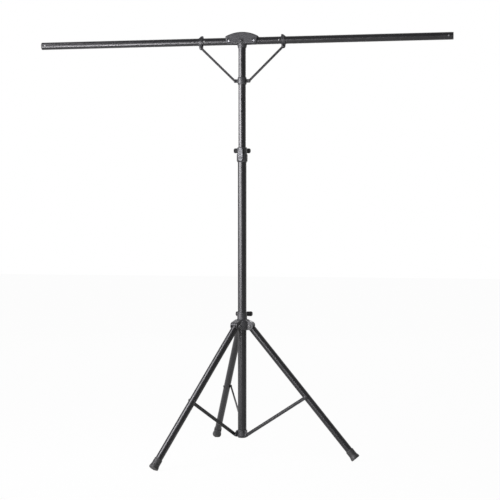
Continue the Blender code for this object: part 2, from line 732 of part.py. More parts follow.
def build_brace_collar(plastic, black):
    """The moulded collar on the column's foot, with a lug for each brace and its pin."""
    ring_low, ring_high = BRACE_COLLAR_Z, BRACE_COLLAR_Z + BRACE_COLLAR_HEIGHT
    bore = COLUMN_OD / 2 + GAP
    outer = BRACE_COLLAR_OD / 2
    chamfer = 1 * mm
    ring = [
        (0, ring_low),
        (outer - chamfer, ring_low),
        (outer, ring_low + chamfer),
        (outer, ring_high - chamfer),
        (outer - chamfer, ring_high),
        (0, ring_high),
    ]
    collar = piece("brace_collar", turned(ring, TUBE_SIDES), plastic, Matrix())
    lug_high = strap_inner_face() - GAP
    lug_low = lug_high - BRACE_LUG_THICKNESS
    lug = arc(BRACE_PIN_R, BRACE_PIN_Z, BRACE_LUG_RADIUS, -pi / 2, pi / 4, 6)
    lug += [
        (outer - chamfer, ring_high - chamfer),
        (0, ring_high - chamfer),
        (0, BRACE_PIN_Z - BRACE_LUG_RADIUS),
    ]
    planes = [upright_plane(bearing) for bearing in LEG_BEARINGS]
    combine(collar, "UNION", *[plate(lug, lug_low, lug_high, at=p) for p in planes])
    combine(collar, "DIFFERENCE", hole(bore, 0, ring_high * 2, TUBE_SIDES))
    pin_depth = lug_high - BRACE_PIN_DEPTH - GAP
    at_pin = Matrix.Translation((BRACE_PIN_R, BRACE_PIN_Z, 0))
    for plane in planes:
        pin_way = hole(BRACE_RIVET_RADIUS + GAP, pin_depth, lug_high * 2, at=plane @ at_pin)
        combine(collar, "DIFFERENCE", pin_way)
    screw_axis = outward(BRACE_SCREW_BEARING, ring_low + BRACE_SCREW_RISE)
    screw_way = hole(COLLAR_SCREW_RADIUS + GAP, bore / 2, outer * 2, at=screw_axis)
    combine(collar, "DIFFERENCE", screw_way)

    piece(
        "brace_collar_screw",
        rivet(COLLAR_SCREW_RADIUS, outer - bore + GAP, STRUT_PIN_HEAD, STRUT_PIN_HEIGHT),
        black,
        screw_axis @ Matrix.Translation((0, 0, outer + GAP)),
    )
    strap_outer = strap_inner_face() + BRACE_THICKNESS
    for number, plane in enumerate(planes, 1):
        grip = strap_outer + GAP - (lug_high - BRACE_PIN_DEPTH)
        piece(
            f"brace_pin_{number}",
            rivet(BRACE_RIVET_RADIUS, grip, BRACE_RIVET_HEAD, BRACE_RIVET_HEIGHT),
            black,
            plane @ at_pin @ Matrix.Translation((0, 0, strap_outer + GAP)),
        )


def strap_inner_face():
    """How far a brace's inner face lies from the middle plane of its leg."""
    return LEG_OD / 2 + GAP + BRACE_SPACER + GAP


def build_brace(number, bearing, steel, black):
    """A flat ribbed strap from the brace collar to its leg, and the rivet at its upper end."""
    plane = upright_plane(bearing)
    upper_r = LEG_PIVOT_R + BRACE_ON_LEG * sin(LEG_SPREAD)
    upper_z = LEG_PIVOT_Z - BRACE_ON_LEG * cos(LEG_SPREAD)
    rise = Vector((upper_r - BRACE_PIN_R, upper_z - BRACE_PIN_Z, 0))
    length = rise.length
    across = Vector((0, 0, 1))
    place = plane @ frame((BRACE_PIN_R, BRACE_PIN_Z, 0), rise, across)
    axis = pivot(f"brace_{number}_pivot", place)
    inner = strap_inner_face()
    outer = inner + BRACE_THICKNESS
    eye = BRACE_RIVET_RADIUS + GAP
    flat = plate(slotted_bar(length, BRACE_WIDTH), inner, outer, [(0, 0, eye), (length, 0, eye)])
    strap = piece(f"brace_{number}", flat, steel, place, axis)
    rib = slotted_bar(length - 2 * BRACE_RIB_MARGIN, BRACE_RIB_WIDTH)
    rib_mesh = plate(
        rib,
        outer - BRACE_THICKNESS / 2,
        outer + BRACE_RIB_HEIGHT,
        edge=BRACE_RIB_HEIGHT * 0.6,
        at=Matrix.Translation((BRACE_RIB_MARGIN, 0, 0)),
    )
    combine(strap, "UNION", rib_mesh)
    spacer_low = LEG_OD / 2 + GAP
    grip = outer + GAP - (spacer_low + BRACE_SPACER)
    rivet_mesh = rivet(
        BRACE_RIVET_RADIUS,
        grip,
        BRACE_RIVET_HEAD,
        BRACE_RIVET_HEIGHT,
        BRACE_RIVET_HEAD,
        BRACE_SPACER,
    )
    piece(
        f"brace_rivet_{number}",
        rivet_mesh,
        black,
        place @ Matrix.Translation((length, 0, outer + GAP)),
        axis,
    )


def build_mast(steel, plastic):
    """The upper tube and the guide bush under it."""
    radius = MAST_OD / 2
    bore = radius - MAST_WALL
    top = BAR_Z + MAST_INTO_HEAD
    foot = top - MAST_LENGTH
    slide = pivot("mast_slide", Matrix.Translation((0, 0, foot)))
    swivel = pivot("mast_swivel", upright_plane(BAR_BEARING, BAR_Z), slide)
    in_column = COLUMN_OD / 2 - COLUMN_WALL - GAP
    guide = [
        (in_column, -GUIDE_BODY - GAP),
        (in_column, -GAP),
        (bore - GAP, -GAP),
        (bore - GAP, GUIDE_SPIGOT),
        (bore - GAP - GUIDE_WALL, GUIDE_SPIGOT),
        (bore - GAP - GUIDE_WALL, -GUIDE_BODY - GAP),
    ]
    piece(
        "mast_guide_bush",
        turned(guide, TUBE_SIDES, ring=True),
        plastic,
        Matrix.Translation((0, 0, foot)),
        slide,
    )
    place = upright_plane(BAR_BEARING, BAR_Z)
    upright_tube = tube(radius, MAST_WALL, foot - BAR_Z, MAST_INTO_HEAD)
    upright_tube.transform(ALONG_Y)
    upper_tube = piece("upper_tube", upright_tube, steel, place, swivel)
    combine(upper_tube, "DIFFERENCE", hole(HEAD_BOLT_RADIUS + GAP, -MAST_OD, MAST_OD))
    for drop in PIN_HOLE_DROPS:
        pin_hole = hole(PIN_HOLE_RADIUS, 0, MAST_OD, at=Matrix.Translation((0, -drop, 0)))
        combine(upper_tube, "DIFFERENCE", pin_hole)
    return swivel


def head_arc(inset, steps=16):
    """The head's arched top, drawn from the right shoulder to the left."""
    rise = HEAD_TOP - HEAD_SHOULDER
    radius = (HEAD_HALF_WIDTH**2 + rise**2) / (2 * rise)
    half_angle = Vector((radius - rise, HEAD_HALF_WIDTH)).angle(Vector((1, 0)))
    middle = HEAD_TOP - radius
    return arc(
        0, middle, radius - inset, pi / 2 - half_angle, pi / 2 + half_angle, steps
    )


def build_head(swivel, steel, plastic, zinc):
    """Two moulded shells bolted together round the mast's top and the arms' inner ends."""
    cheek_inner = ARM_OD / 2 + SWING_GAP
    cheek_outer = cheek_inner + HEAD_CHEEK
    foot = [
        (-HEAD_FOOT_HALF_WIDTH, -HEAD_BOTTOM, HEAD_CORNER),
        (HEAD_FOOT_HALF_WIDTH, -HEAD_BOTTOM, HEAD_CORNER),
    ]
    outline = rounded([(x, y, 0) for x, y in head_arc(0)] + foot)
    roof = head_arc(0) + head_arc(HEAD_ROOF)[::-1]
    mast = MAST_OD / 2 + GAP
    socket = [
        (mast, -SOCKET_DROP),
        (mast + SOCKET_FOOT_WALL, -SOCKET_DROP),
        (mast + SOCKET_WALL, -HEAD_BOTTOM),
        (mast + SOCKET_WALL, 0),
        (mast + SOCKET_FOOT_WALL, MAST_INTO_HEAD),
        (mast, MAST_INTO_HEAD),
    ]
    front = upright_plane(BAR_BEARING, BAR_Z)
    back = front @ Matrix.Rotation(pi, 4, "Y")
    bolt_hole = HEAD_BOLT_RADIUS + GAP
    sink = cheek_outer - COUNTERBORE_DEPTH
    roof_side = cheek_inner + (HEAD_CHEEK - HEAD_EDGE) / 2
    for name, place in (("head_shell_front", front), ("head_shell_back", back)):
        cheek = plate(outline, cheek_inner, cheek_outer, edge=HEAD_EDGE)
        shell = piece(name, cheek, plastic, place, swivel)
        combine(
            shell,
            "UNION",
            plate(roof, HEAD_PARTING, roof_side),
            halved(turned(socket, TUBE_SIDES, ring=True, at=ALONG_Y), HEAD_PARTING),
        )
        for side in (-1, 1):
            at_pivot = Matrix.Translation((side * ARM_PIVOT_X, 0, 0))
            stepped = [
                (0, 0),
                (bolt_hole, 0),
                (bolt_hole, sink),
                (COUNTERBORE_RADIUS, sink),
                (COUNTERBORE_RADIUS, cheek_outer * 2),
                (0, cheek_outer * 2),
            ]
            combine(shell, "DIFFERENCE", drill(stepped, at=at_pivot))
        boss = [
            (0, cheek_outer - HEAD_CHEEK / 2),
            (HEAD_BOSS_RADIUS, cheek_outer - HEAD_CHEEK / 2),
            (HEAD_BOSS_RADIUS, cheek_outer),
            (HEAD_BOSS_RADIUS - HEAD_BOSS_HEIGHT, cheek_outer + HEAD_BOSS_HEIGHT),
            (0, cheek_outer + HEAD_BOSS_HEIGHT),
        ]
        combine(shell, "UNION", turned(boss, TUBE_SIDES))
        combine(shell, "DIFFERENCE", hole(bolt_hole, 0, cheek_outer * 2))

    boss_face = cheek_outer + HEAD_BOSS_HEIGHT
    bolts = (
        ("head_bolt", 0, boss_face + GAP, steel),
        ("arm_bolt_left", -ARM_PIVOT_X, sink + GAP, zinc),
        ("arm_bolt_right", ARM_PIVOT_X, sink + GAP, zinc),
    )
    for name, x, face, metal in bolts:
        mesh = rivet(
            HEAD_BOLT_RADIUS,
            2 * face,
            HEAD_BOLT_HEAD,
            HEAD_BOLT_HEIGHT,
            HEAD_BOLT_HEAD,
            HEAD_BOLT_HEIGHT,
        )
        piece(name, mesh, metal, front @ Matrix.Translation((x, 0, face)), swivel)


def build_arm(side, swivel, steel, plastic, black, zinc):
    """One arm of the crossbar: tube, end cap with its rivet, strut clamp and its pin."""
    word = "right" if side > 0 else "left"
    view = upright_plane(BAR_BEARING, BAR_Z)
    pivot_place = view @ Matrix.Translation((side * ARM_PIVOT_X, 0, 0))
    axis = pivot(f"arm_{word}_pivot", pivot_place, swivel)
    place = view @ in_plane(side * ARM_PIVOT_X, 0, (side, 0))
    radius = ARM_OD / 2
    tip = BAR_REACH - ARM_PIVOT_X
    end = tip - CAP_LIP
    clamp_at = STRUT_PIN_X - ARM_PIVOT_X
    arm = piece(f"arm_tube_{word}", tube(radius, ARM_WALL, -ARM_OVERHANG, end), steel, place, axis)
    to_front = Matrix.Rotation(-pi / 2, 4, "X")
    rivet_at = Matrix.Translation((0, 0, clamp_at - ARM_RIVET_INSET)) @ to_front
    combine(
        arm,
        "DIFFERENCE",
        hole(HEAD_BOLT_RADIUS + GAP, -ARM_OD, ARM_OD, at=to_front),
        hole(STRUT_PIN_RADIUS + GAP, 0, ARM_OD, at=rivet_at),
    )
    bore = radius - ARM_WALL - GAP
    cap = [
        (0, end + GAP - CAP_WALL),
        (bore - CAP_WALL, end + GAP - CAP_WALL),
        (bore - CAP_WALL, end - CAP_DEPTH),
        (bore, end - CAP_DEPTH),
        (bore, end + GAP),
        (radius, end + GAP),
        (radius, tip - CAP_LIP / 2),
        (radius - CAP_LIP / 2, tip),
        (0, tip),
    ]
    piece(f"arm_cap_{word}", turned(cap, TUBE_SIDES), plastic, place, axis)
    piece(
        f"arm_rivet_{word}",
        rivet(STRUT_PIN_RADIUS, ARM_WALL, STRUT_PIN_HEAD, STRUT_PIN_HEIGHT),
        zinc,
        place @ rivet_at @ Matrix.Translation((0, 0, radius + GAP)),
        axis,
    )
    build_strut_clamp(side, word, view, axis, plastic, black)
    return axis


def build_strut_clamp(side, word, view, axis, plastic, black):
    """The moulded band round an arm, with a peak on top and an ear below for its strut."""
    radius = ARM_OD / 2
    outer = radius + GAP + CLAMP_WALL
    half = CLAMP_WIDTH / 2
    place = view @ Matrix.Translation((side * STRUT_PIN_X, 0, 0))
    lean = Matrix.Rotation(side * CLAMP_LEAN, 4, "Z") @ ALONG_X
    band = cylinder(outer, -half * 0.75, half * 0.75, TUBE_SIDES, at=lean)
    clamp = piece(f"strut_clamp_{word}", band, plastic, place, axis)
    peak_half = CLAMP_PEAK_THICKNESS / 2
    peak = [
        (side * half, 0),
        (side * half, radius),
        (-side * half * 0.35, radius + CLAMP_PEAK),
        (-side * half * 0.95, radius + CLAMP_PEAK * 0.85),
        (-side * half, radius),
        (-side * half, 0),
    ]
    ear = arc(0, -STRUT_PIN_DROP, CLAMP_EAR_RADIUS, pi, 2 * pi, 10)
    ear += [(half, -radius * 0.6), (half, 0), (-half, 0), (-half, -radius * 0.6)]
    ear_half = EAR_THICKNESS / 2
    combine(
        clamp,
        "UNION",
        plate(peak, -peak_half, peak_half),
        plate(ear, -ear_half, ear_half),
    )
    at_pin = Matrix.Translation((0, -STRUT_PIN_DROP, 0))
    combine(
        clamp,
        "DIFFERENCE",
        hole(radius + GAP, -CLAMP_WIDTH, CLAMP_WIDTH, TUBE_SIDES, at=ALONG_X),
        hole(STRUT_PIN_RADIUS + GAP, -ARM_OD, ARM_OD, at=at_pin),
    )
    strut_face = ear_half + GAP + STRUT_THICKNESS + GAP
    pin = rivet(
        STRUT_PIN_RADIUS,
        strut_face + ear_half + GAP,
        STRUT_PIN_HEAD,
        STRUT_PIN_HEIGHT,
        STRUT_PIN_HEAD,
        STRUT_PIN_HEIGHT,
    )
    pin_place = place @ at_pin @ Matrix.Translation((0, 0, strut_face))
    piece(f"strut_pin_{word}", pin, black, pin_place, axis)


def build_strut_collar(swivel, plastic, black):
    """The collar that slides on the upper tube, with an ear and a rivet for each strut."""
    view = upright_plane(BAR_BEARING, BAR_Z - STRUT_COLLAR_DROP)
    carrier = pivot("strut_collar_slide", view, swivel)
    half = STRUT_COLLAR_HEIGHT / 2
    outer = STRUT_COLLAR_OD / 2
    bore = MAST_OD / 2 + GAP
    chamfer = 1.2 * mm
    body = [
        (0, -half),
        (outer - chamfer, -half),
        (outer, -half + chamfer),
        (outer, half - chamfer),
        (outer - chamfer, half),
        (0, half),
    ]
    collar = piece(
        "strut_collar", turned(body, TUBE_SIDES, at=ALONG_Y), plastic, view, carrier
    )
    ear_half = EAR_THICKNESS / 2
    tall = COLLAR_EAR_HEIGHT / 2
    corner = COLLAR_EAR_REACH - STRUT_COLLAR_PIN_R
    ears = rounded(
        [
            (-COLLAR_EAR_REACH, -tall, corner),
            (COLLAR_EAR_REACH, -tall, corner),
            (COLLAR_EAR_REACH, tall, corner),
            (-COLLAR_EAR_REACH, tall, corner),
        ]
    )
    combine(collar, "UNION", plate(ears, -ear_half, ear_half))
    combine(collar, "DIFFERENCE", hole(bore, -half * 2, half * 2, TUBE_SIDES, at=ALONG_Y))
    for side, word in ((-1, "left"), (1, "right")):
        at_pin = Matrix.Translation((side * STRUT_COLLAR_PIN_R, 0, 0))
        combine(collar, "DIFFERENCE", hole(STRUT_PIN_RADIUS + GAP, -outer, outer, at=at_pin))
        back_side = at_pin @ Matrix.Translation((0, 0, -ear_half - GAP)) @ TURNED_ROUND
        piece(
            f"collar_rivet_{word}",
            rivet(STRUT_PIN_RADIUS, EAR_THICKNESS, STRUT_PIN_HEAD, STRUT_PIN_HEIGHT),
            black,
            view @ back_side,
            carrier,
        )
    combine(collar, "DIFFERENCE", hole(COLLAR_SCREW_RADIUS + GAP, -outer * 2, 0))
    grip = outer + GAP - bore
    piece(
        "strut_collar_screw",
        rivet(COLLAR_SCREW_RADIUS, grip, STRUT_PIN_HEAD, STRUT_PIN_HEIGHT),
        black,
        view @ TURNED_ROUND @ Matrix.Translation((0, 0, outer + GAP)),
        carrier,
    )


def build_strut(side, arm_axis, steel, black):
    """A flat strut from its arm's clamp to the strut collar, with a stud at its lower end."""
    word = "right" if side > 0 else "left"
    view = upright_plane(BAR_BEARING, BAR_Z)
    upper = Vector((side * STRUT_PIN_X, -STRUT_PIN_DROP, 0))
    lower = Vector((side * STRUT_COLLAR_PIN_R, -STRUT_COLLAR_DROP, 0))
    length = (lower - upper).length
    place = view @ frame(upper, lower - upper, (0, 0, 1))
    axis = pivot(f"strut_{word}_pivot", place, arm_axis)
    inner = EAR_THICKNESS / 2 + GAP
    outer = inner + STRUT_THICKNESS
    eye = STRUT_PIN_RADIUS + GAP
    flat = plate(slotted_bar(length, STRUT_WIDTH), inner, outer, [(0, 0, eye), (length, 0, eye)])
    piece(f"strut_{word}", flat, steel, place, axis)
    piece(
        f"strut_stud_{word}",
        rivet(STRUT_PIN_RADIUS, STRUT_THICKNESS, STRUT_PIN_HEAD, STRUT_PIN_HEIGHT),
        black,
        place @ Matrix.Translation((length, 0, outer + GAP)),
        axis,
    )


def build_stand():
    """Every piece of the stand, from the floor up."""
    for thing in list(bpy.data.objects):
        bpy.data.objects.remove(thing, do_unlink=True)
    steel = finish("black_painted_steel", (0.030, 0.030, 0.032), 0.38, 0.3)
    plastic = finish("grey_black_nylon", (0.055, 0.056, 0.062), 0.5, 0.0)
    rubber = finish("black_rubber", (0.022, 0.022, 0.022), 0.75, 0.0)
    black = finish("blackened_steel", (0.03, 0.03, 0.03), 0.4, 0.0)
    zinc = finish("zinc_plated_steel", (0.72, 0.72, 0.74), 0.3, 1.0)

    build_column(steel, plastic, black, zinc)
    hub = build_hub(plastic, zinc)
    build_brace_collar(plastic, black)
    for number, bearing in enumerate(LEG_BEARINGS, 1):
        build_leg(number, bearing, hub, steel, rubber, black)
        build_brace(number, bearing, steel, black)
    swivel = build_mast(steel, plastic)
    build_head(swivel, steel, plastic, zinc)
    build_strut_collar(swivel, plastic, black)
    for side in (-1, 1):
        arm_axis = build_arm(side, swivel, steel, plastic, black, zinc)
        build_strut(side, arm_axis, steel, black)


build_stand()
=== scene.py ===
"""A telescopic light stand: a folding tripod, a mast in two parts and a crossbar of two arms."""

import json
from math import cos, hypot, pi, radians, sin, tan

import bmesh
import bpy
from mathutils import Matrix, Vector

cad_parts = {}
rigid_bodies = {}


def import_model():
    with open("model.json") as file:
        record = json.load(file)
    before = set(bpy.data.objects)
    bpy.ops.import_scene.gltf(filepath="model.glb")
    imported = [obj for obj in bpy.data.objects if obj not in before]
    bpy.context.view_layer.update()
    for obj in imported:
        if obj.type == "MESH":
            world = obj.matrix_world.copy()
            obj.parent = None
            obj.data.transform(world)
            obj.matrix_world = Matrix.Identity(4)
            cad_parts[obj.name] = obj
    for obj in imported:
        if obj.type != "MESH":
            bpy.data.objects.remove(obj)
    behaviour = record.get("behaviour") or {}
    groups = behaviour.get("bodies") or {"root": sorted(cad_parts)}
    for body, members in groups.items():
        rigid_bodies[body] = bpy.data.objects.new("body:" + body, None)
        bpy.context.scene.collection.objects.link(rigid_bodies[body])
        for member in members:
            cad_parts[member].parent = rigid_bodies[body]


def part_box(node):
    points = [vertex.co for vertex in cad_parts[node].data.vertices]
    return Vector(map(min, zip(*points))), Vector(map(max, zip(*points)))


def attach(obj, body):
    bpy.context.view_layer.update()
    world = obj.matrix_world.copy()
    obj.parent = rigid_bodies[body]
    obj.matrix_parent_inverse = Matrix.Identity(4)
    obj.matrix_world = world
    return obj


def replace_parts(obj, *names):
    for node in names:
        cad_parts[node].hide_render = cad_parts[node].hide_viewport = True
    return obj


bpy.ops.object.select_all(action="SELECT")
bpy.ops.object.delete()
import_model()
bpy.ops.object.select_all(action="DESELECT")
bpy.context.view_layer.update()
mm = 0.001

# Lower mast tube. Drawn steel tube of 35 mm with a 1.5 mm wall, cut square and painted satin
# black. Its half section is drawn as a line of points and spun round the mast, as is done for
# every round piece, and two holes are drilled for the hub's stop rivet and the collar's screw.
COLUMN_RADIUS = 17.5 * mm
TUBE_WALL = 1.5 * mm
TUBE_EDGE = 0.3 * mm
FIT = 0.3 * mm
WELD = 0.002 * mm
UP = Vector((0, 0, 1))
COLUMN_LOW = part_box("lower_tube")[0].z
COLUMN_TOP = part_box("lower_tube")[1].z
STOP_BEARING = radians(279)
STOP_Z = 495 * mm
PAD_BEARING = radians(268)
PAD_SCREW_Z = COLUMN_TOP - 20 * mm
RIVET_HOLE = 3.3 * mm
SCREW_HOLE = 2.8 * mm
SMOOTH_BELOW = radians(34)
RUBBED_COLUMN = (580 * mm, 800 * mm)


def chosen(piece):
    """Make one object the active one and the only one selected."""
    bpy.ops.object.select_all(action="DESELECT")
    piece.select_set(True)
    bpy.context.view_layer.objects.active = piece


def opened(piece):
    """Open a piece for editing, with all of it selected."""
    chosen(piece)
    bpy.ops.object.mode_set(mode="EDIT")
    bpy.ops.mesh.select_all(action="SELECT")


def drawn(name, points, closed):
    """A line of points: a small plane merged to one point, which is extruded along the line."""
    bpy.ops.mesh.primitive_plane_add(size=mm, location=points[0])
    piece = bpy.context.object
    piece.name = name
    bpy.ops.object.mode_set(mode="EDIT")
    bpy.ops.mesh.merge(type="CENTER")
    for last, here in zip(points, points[1:]):
        step = [b - a for a, b in zip(last, here)]
        bpy.ops.mesh.extrude_vertices_move(TRANSFORM_OT_translate={"value": step})
    if closed:
        mesh = bmesh.from_edit_mesh(piece.data)
        for vert in mesh.verts:
            vert.select_set(len(vert.link_edges) == 1)
        mesh.select_flush_mode()
        bmesh.update_edit_mesh(piece.data)
        bpy.ops.mesh.edge_face_add()
    bpy.ops.mesh.select_all(action="SELECT")
    return piece


def closed_up(piece):
    """Merge what meets, turn the faces outwards, and leave the object at the origin."""
    bpy.ops.mesh.select_all(action="SELECT")
    bpy.ops.mesh.remove_doubles(threshold=WELD)
    bpy.ops.mesh.normals_make_consistent(inside=False)
    bpy.ops.object.mode_set(mode="OBJECT")
    bpy.ops.object.transform_apply(location=True, rotation=True, scale=True)
    return piece


def spun(name, profile, sides=64, ring=False):
    """Spin a half section of (radius, height) points round Z."""
    piece = drawn(name, [(radius, 0, height) for radius, height in profile], ring)
    bpy.ops.mesh.spin(steps=sides, angle=2 * pi, center=(0, 0, 0), axis=UP)
    return closed_up(piece)


def tube(name, radius, wall, low, high):
    """A length of round tube with its cut edges broken."""
    bore = radius - wall
    edge = TUBE_EDGE
    section = [(radius, low + edge), (radius, high - edge), (radius - edge, high)]
    section += [(bore + edge, high), (bore, high - edge), (bore, low + edge)]
    section += [(bore + edge, low), (radius - edge, low)]
    return spun(name, section, sides=72, ring=True)


def peg(radius, low, high, place=Matrix(), sides=32):
    """A round tool along Z, for a drilled hole or a plain boss."""
    middle = (low + high) / 2
    bpy.ops.mesh.primitive_cylinder_add(
        vertices=sides, radius=radius, depth=high - low, location=(0, 0, middle)
    )
    return placed(bpy.context.object, place)


def placed(piece, place):
    """Put a mesh where its piece belongs, with the object left at the origin."""
    chosen(piece)
    bpy.ops.object.transform_apply(location=True, rotation=True, scale=True)
    piece.matrix_world = place
    bpy.ops.object.transform_apply(location=True, rotation=True, scale=True)
    return piece


def carved(piece, operation, tools):
    """Apply tools to a piece, one after the other, and delete them."""
    for tool in tools:
        chosen(piece)
        step = piece.modifiers.new("carving", "BOOLEAN")
        step.operation = operation
        step.solver = "EXACT"
        step.object = tool
        bpy.ops.object.modifier_apply(modifier=step.name)
        bpy.data.objects.remove(tool)
    return piece


def joined(piece, *tools):
    """Make tools part of a piece."""
    return carved(piece, "UNION", tools)


def cut(piece, *tools):
    """Take the space of tools out of a piece."""
    return carved(piece, "DIFFERENCE", tools)


def drilled(piece, radius, low, high, *places, sides=32):
    """Drill a round hole along the Z of each place, or along Z itself if none is given."""
    for place in places or [Matrix()]:
        cut(piece, peg(radius, low, high, place, sides))


def smooth(piece):
    """Smooth shading, with large flat faces kept flat."""
    chosen(piece)
    bpy.ops.object.shade_smooth_by_angle(angle=SMOOTH_BELOW)
    even = piece.modifiers.new("even_shading", "WEIGHTED_NORMAL")
    even.keep_sharp = True
    bpy.ops.object.modifier_apply(modifier=even.name)
    return piece


def shifted(x, y, z):
    """A place beside the origin, unturned."""
    return Matrix.Translation((x, y, z))


def framed(origin, x, z):
    """A place whose X and Z run along the given directions."""
    x, z = Vector(x).normalized(), Vector(z).normalized()
    return Matrix.Translation(origin) @ Matrix((x, z.cross(x), z)).transposed().to_4x4()


def facing(bearing, height, reach=0):
    """A place whose Z points away from the mast at a compass bearing, with X up."""
    out = Vector((cos(bearing), sin(bearing), 0))
    return framed(out * reach + UP * height, UP, out)


class Shade:
    """A socket of a material's nodes. A sum written with it adds its Math nodes."""

    def __init__(self, tree, socket=None):
        self.tree = tree
        self.socket = socket

    def node(self, kind, settings=None, sockets=None, output=0):
        """Add a node: its settings first, then the values or links of its sockets."""
        made = self.tree.nodes.new(kind)
        for name, value in (settings or {}).items():
            setattr(made, name, value)
        for name, value in (sockets or {}).items():
            if isinstance(value, Shade):
                self.tree.links.new(value.socket, made.inputs[name])
            else:
                made.inputs[name].default_value = value
        return Shade(self.tree, made.outputs[output])

    def maths(self, operation, first, second):
        return self.node("ShaderNodeMath", {"operation": operation}, {0: first, 1: second})

    def __add__(self, other):
        return self.maths("ADD", self, other)

    def __rsub__(self, other):
        return self.maths("SUBTRACT", other, self)

    def __mul__(self, other):
        return self.maths("MULTIPLY", self, other)

    __radd__ = __add__

    def between(self, low, high):
        """0 below low and 1 above high, with a soft step from one to the other."""
        step = {"Value": self, "From Min": low, "From Max": high}
        return self.node("ShaderNodeMapRange", {"interpolation_type": "SMOOTHSTEP"}, step)

    def blended(self, first, second):
        """One colour where this is 0, the other where it is 1."""
        sockets = {0: self, 6: first, 7: second}
        return self.node("ShaderNodeMix", {"data_type": "RGBA"}, sockets, 2)

    def part(self, axis):
        """One of the coordinates that this socket gives."""
        return self.node("ShaderNodeSeparateXYZ", sockets={"Vector": self}, output=axis)

    def noise(self, scale, detail):
        """Noise over the coordinates that this socket gives."""
        sockets = {"Vector": self, "Scale": scale, "Detail": detail}
        return self.node("ShaderNodeTexNoise", sockets=sockets)

    def stretched(self, scale):
        """Coordinates scaled by a different amount along each axis."""
        return self.node("ShaderNodeMapping", sockets={"Vector": self, "Scale": scale})

    def raised(self, distance):
        """A normal that this height bends."""
        return self.node("ShaderNodeBump", sockets={"Height": self, "Distance": distance})

    def ray(self, kind):
        """1 for the rays of one kind and 0 for all others."""
        return self.node("ShaderNodeLightPath", output=f"Is {kind} Ray")

    def into(self, shader, name):
        self.tree.links.new(self.socket, shader.inputs[name])


def material_on(name, place=Matrix()):
    """A new material: its shader, and coordinates that run with the piece, Z along it."""
    material = bpy.data.materials.new(name)
    material.use_nodes = True
    tree = material.node_tree
    to_piece = place.inverted()
    spot = Shade(tree).node("ShaderNodeTexCoord", output="Object")
    turn = to_piece.to_euler()
    turned = {"Vector": spot, "Location": to_piece.translation, "Rotation": turn}
    spot = spot.node("ShaderNodeMapping", sockets=turned)
    return material, tree.nodes["Principled BSDF"], spot


def satin_paint(name, place=Matrix(), rubbed=(0, 0)):
    """Black paint with a fine orange peel, hairline scratches and one stretch rubbed shiny."""
    black = (0.007, 0.007, 0.008, 1)
    faded = (0.013, 0.013, 0.0145, 1)
    bare = (0.16, 0.165, 0.18, 1)
    material, shader, spot = material_on(name, place)
    cloud = spot.noise(9.0, 4.0)
    peel = spot.noise(620.0, 1.0)
    streaks = spot.stretched((900, 900, 14)).noise(1.0, 3.0)
    patches = spot.stretched((30, 30, 6)).noise(1.0, 2.0)
    height = spot.part("Z")
    start, end = rubbed
    margin = 40 * mm
    rub = height.between(start, start + margin) * (1 - height.between(end - margin, end))
    hairline = streaks.between(0.70, 0.76) * patches.between(0.5, 0.68)
    scratch = hairline * (0.03 + rub * 0.14)
    coat = cloud.between(0.3, 0.7).blended(black, faded)
    scratch.blended(coat, bare).into(shader, "Base Color")
    (cloud * 0.06 + hairline * 0.03 + (0.27 - rub * 0.04)).into(shader, "Roughness")
    (peel * 0.8 + hairline * -0.2).raised(0.004 * mm).into(shader, "Normal")
    return material


def coated(piece, material, body):
    """Give a piece its finish and the body it moves with."""
    piece.data.materials.clear()
    piece.data.materials.append(material)
    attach(piece, body)
    return piece


def dressed(piece, material, body, slot, *nodes):
    """The same, with the CAD nodes that the piece stands for."""
    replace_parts(coated(piece, material, body), *nodes)


column = tube("column_tube", COLUMN_RADIUS, TUBE_WALL, COLUMN_LOW, COLUMN_TOP)
drilled(column, RIVET_HOLE, 0, 2 * COLUMN_RADIUS, facing(STOP_BEARING, STOP_Z))
drilled(column, SCREW_HOLE, 0, 2 * COLUMN_RADIUS, facing(PAD_BEARING, PAD_SCREW_Z))
smooth(column)
column_paint = satin_paint("column_paint", rubbed=RUBBED_COLUMN)
dressed(column, column_paint, "column", "tube_steel", "lower_tube")

# Plug in the mast's foot. Moulded black nylon, pushed into the lower tube from below, with a lip
# that covers the cut edge. A hollow cup, spun like the tube.
PLUG_LIP = 3 * mm
PLUG_DEPTH = 18 * mm
PLUG_WALL = 2 * mm


def bend(start, pull, push, end, steps=8):
    """Points on a curve that leaves its start towards pull and reaches its end from push."""
    points = []
    for step in range(steps + 1):
        t = step / steps
        shares = ((1 - t) ** 3, 3 * t * (1 - t) ** 2, 3 * t**2 * (1 - t), t**3)
        corners = zip(*(start, pull, push, end))
        points.append(tuple(sum(s * c for s, c in zip(shares, line)) for line in corners))
    return points


def moulded_nylon(name, dark, light, gloss, grain=0.006 * mm):
    """Glass-filled nylon: a fine spark-eroded grain, soft flow clouds and handled high spots."""
    material, shader, spot = material_on(name)
    flow = spot.noise(38.0, 4.0)
    skin = spot.noise(1500.0, 2.0)
    pits = spot.node("ShaderNodeTexVoronoi", sockets={"Vector": spot, "Scale": 1100.0})
    flow.between(0.32, 0.68).blended(dark, light).into(shader, "Base Color")
    (flow * 0.1 + skin * 0.04 + (gloss - 0.08)).into(shader, "Roughness")
    (skin * 0.6 + pits * 0.4).raised(grain).into(shader, "Normal")
    return material


